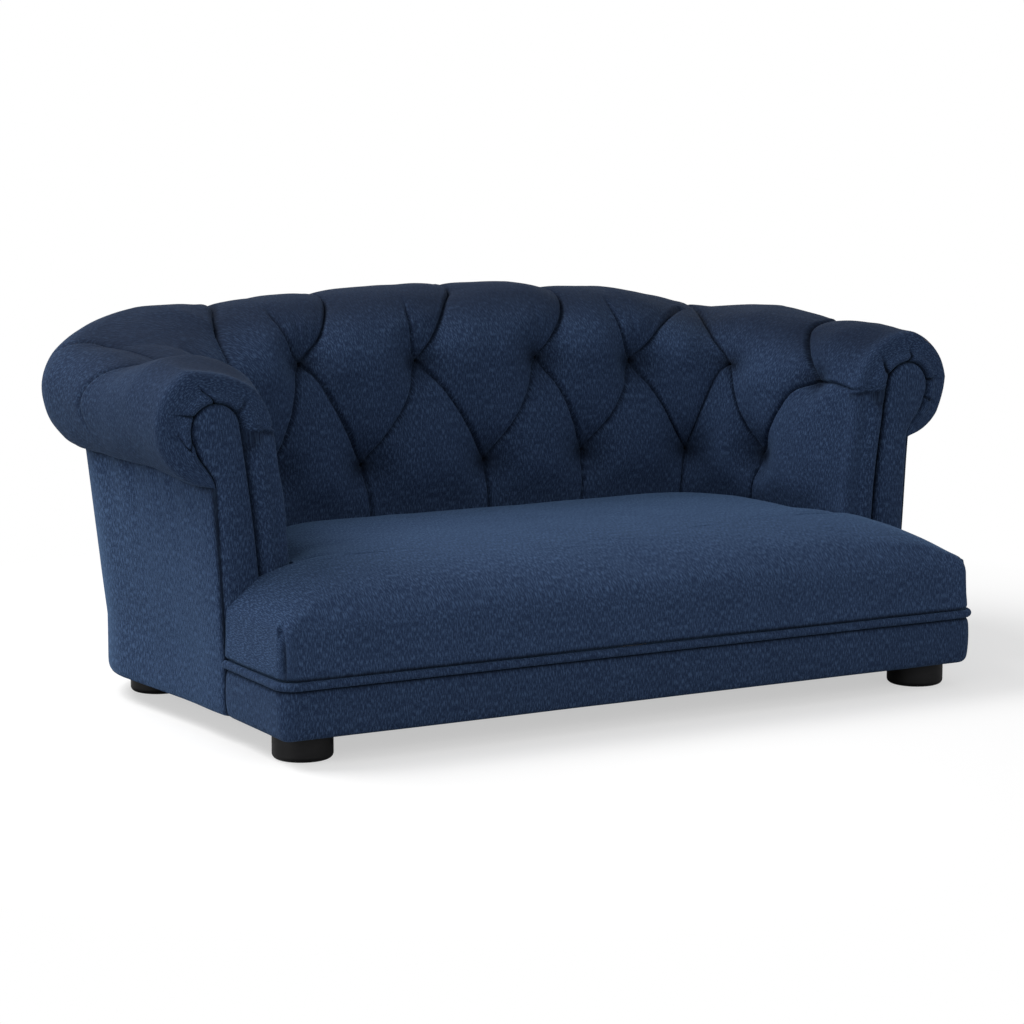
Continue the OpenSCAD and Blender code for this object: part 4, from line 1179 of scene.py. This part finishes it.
def make_staple():
    """One staple's crown, a flat wire with bent ends, lying along X under the cloth."""
    half, wide, deep, bend, rise = 0.0055, 0.0007, 0.0006, 0.0012, 0.0014
    rows = [(-half, rise), (-half + 0.0002, 0.0002), (-half + bend, 0.0), (half - bend, 0.0),
            (half - 0.0002, 0.0002), (half, rise)]
    corners = ((-wide, 0), (wide, 0), (wide, deep), (-wide, deep))
    points = [(x, y, -deep + z + h) for x, z in rows for y, h in corners]
    faces = grid_faces(len(rows), 4, closed=True)
    faces += [(3, 2, 1, 0), tuple(4 * (len(rows) - 1) + j for j in range(4))]
    piece = add_mesh("staple", points, faces, zinc)
    for face in piece.data.polygons:
        face.use_smooth = False
    outwards(piece)
    return piece


def staple_tree(staple):
    tree = bpy.data.node_groups.new("staples_along_edge", "GeometryNodeTree")
    for name, in_out, kind, value in (
            ("Geometry", "INPUT", "Geometry", None), ("Step", "INPUT", "Float", staple_step),
            ("Askew", "INPUT", "Float", staple_askew), ("Seed", "INPUT", "Int", staple_seed),
            ("Geometry", "OUTPUT", "Geometry", None)):
        socket = tree.interface.new_socket(name, in_out=in_out, socket_type="NodeSocket" + kind)
        if value is not None:
            socket.default_value = value
    entry = node(tree, "NodeGroupInput").outputs
    curve = node(tree, "GeometryNodeMeshToCurve", {"Mesh": entry["Geometry"]}).outputs["Curve"]
    even = node(tree, "GeometryNodeResampleCurve", {"Curve": curve, "Length": entry["Step"]}, mode="LENGTH")
    tangent = node(tree, "GeometryNodeInputTangent").outputs["Tangent"]
    turn = node(tree, "FunctionNodeAlignRotationToVector", {"Vector": tangent}, axis="X").outputs["Rotation"]
    least = compute(tree, "MULTIPLY", entry["Askew"], -1.0)
    askew = node(tree, "FunctionNodeRandomValue", {2: least, 3: entry["Askew"], "Seed": entry["Seed"]},
                 data_type="FLOAT")
    tilt = node(tree, "ShaderNodeCombineXYZ", {"Z": askew.outputs[1]}).outputs["Vector"]
    twist = node(tree, "FunctionNodeRotateRotation", {"Rotation": turn, "Rotate By": tilt}).outputs["Rotation"]
    one = node(tree, "GeometryNodeObjectInfo", {"Object": staple}).outputs["Geometry"]
    stand = node(tree, "GeometryNodeInstanceOnPoints", {
        "Points": even.outputs["Curve"], "Instance": one, "Rotation": twist}).outputs["Instances"]
    real = node(tree, "GeometryNodeRealizeInstances", {"Geometry": stand}).outputs["Geometry"]
    finish = node(tree, "GeometryNodeSetMaterial", {"Geometry": real, "Material": zinc}).outputs["Geometry"]
    node(tree, "NodeGroupOutput", {"Geometry": finish})
    return tree


def base_edge(inset):
    """The base's outline, drawn in by inset: square at the front, round at the back corners."""
    run, back, radius, end = wall_path
    w, r, round_in = base_w / 2 - inset, corner_r - inset, radius - inset
    half = [(0.0, inset), (w - r, inset)]
    half += [(w - r + r * math.sin(t), inset + r - r * math.cos(t)) for t in np.linspace(0, math.pi / 2, 8)[1:]]
    half += [(w, setback)]
    half += [(run + round_in * math.sin(t), back - radius + round_in * math.cos(t))
             for t in np.linspace(end, 0, 24)]
    half += [(0.0, back - inset)]
    half += [(-x, y) for x, y in reversed(half[1:-1])]
    return [(x, y + front_y, foot_h) for x, y in half]


def make_staples():
    path = base_edge(staple_inset)
    mesh = bpy.data.meshes.new("staple_path")
    mesh.from_pydata(path, [(k, (k + 1) % len(path)) for k in range(len(path))], [])
    carrier, staple = add_object("staple_path", mesh), make_staple()
    tree = staple_tree(staple)
    modifier = carrier.modifiers.new("staples", "NODES")
    modifier.node_group = tree
    for socket in tree.interface.items_tree:
        if socket.in_out == "INPUT" and socket.name != "Geometry":
            modifier[socket.identifier] = socket.default_value
    shaped = carrier.evaluated_get(bpy.context.evaluated_depsgraph_get())
    piece = add_object("dust_cover_staples", bpy.data.meshes.new_from_object(shaped))
    for helper in (carrier, staple):
        bpy.data.objects.remove(helper)
    dress(piece, "zinc_steel")
    print(len(piece.data.vertices) // 24, "staples")


make_staples()

# %% [markdown]
# ## Floor and light
# The floor is white and only shows the shadow. A bright world alone would flatten the folds, and one small
# lamp would draw hard edges. So a large lamp overhead gives the shadow under the base, a wide one on the left
# lights the outside of the arm, another lights the front, and the pale world fills the rest.

# %% Floor
def make_floor():
    material, tree, shader = new_material("white_floor")
    seen = node(tree, "ShaderNodeLightPath").outputs["Is Camera Ray"]
    set_inputs(tree, shader, {
        "Base Color": (0.52, 0.52, 0.52, 1), "Roughness": 1.0, "Specular IOR Level": 0.0,
        "Emission Color": (1, 1, 1, 1), "Emission Strength": compute(tree, "MULTIPLY", seen, 0.52)})
    coordinates = node(tree, "ShaderNodeTexCoord")
    distance = node(tree, "ShaderNodeVectorMath", {0: coordinates.outputs["Object"]}, operation="LENGTH")
    far = compute(tree, "MULTIPLY", span(tree, distance.outputs["Value"], 0.62, 1.0), seen)
    plain = node(tree, "ShaderNodeEmission", {"Color": (1, 1, 1, 1)})
    both = node(tree, "ShaderNodeMixShader", {0: far, 1: shader.outputs[0], 2: plain.outputs[0]})
    set_inputs(tree, tree.nodes["Material Output"], {"Surface": both.outputs[0]})
    size = 12.0
    corners = [(-size, -size, 0), (size, -size, 0), (size, size, 0), (-size, size, 0)]
    piece = add_mesh("floor", corners, [(0, 1, 2, 3)], material)


make_floor()


# %% Lamps and world
def add_lamp(name, place, target, size, power):
    data = bpy.data.lights.new(name, "AREA")
    data.shape = "RECTANGLE"
    data.size, data.size_y = size
    data.energy = power
    lamp = add_object(name, data)
    lamp.location = place
    lamp.rotation_euler = (Vector(target) - Vector(place)).to_track_quat("-Z", "Y").to_euler()


add_lamp("top_lamp", (-1.3, 0.9, 2.1), (0, 0, 0.2), (1.6, 1.2), 50)
add_lamp("left_lamp", (-3.4, -0.6, 0.9), (0, 0, 0.25), (2.0, 1.6), 28)
add_lamp("front_lamp", (0.6, -3.4, 1.6), (0, 0, 0.25), (2.4, 1.6), 28)
world = bpy.data.worlds.new("studio")
bpy.context.scene.world = world
world.use_nodes = True
tree = world.node_tree
fill = tree.nodes["Background"]
set_inputs(tree, fill, {"Color": (1, 1, 1, 1), "Strength": 0.40})
white = node(tree, "ShaderNodeBackground", {"Color": (1, 1, 1, 1), "Strength": 1.0})
path = node(tree, "ShaderNodeLightPath").outputs
either = compute(tree, "MAXIMUM", path["Is Camera Ray"], path["Is Glossy Ray"])
both = node(tree, "ShaderNodeMixShader", {0: either, 1: fill.outputs[0], 2: white.outputs[0]})
set_inputs(tree, tree.nodes["World Output"], {"Surface": both.outputs[0]})
bpy.context.scene.view_settings.view_transform = "Standard"
print("World and", len(bpy.data.lights), "lamps ready")
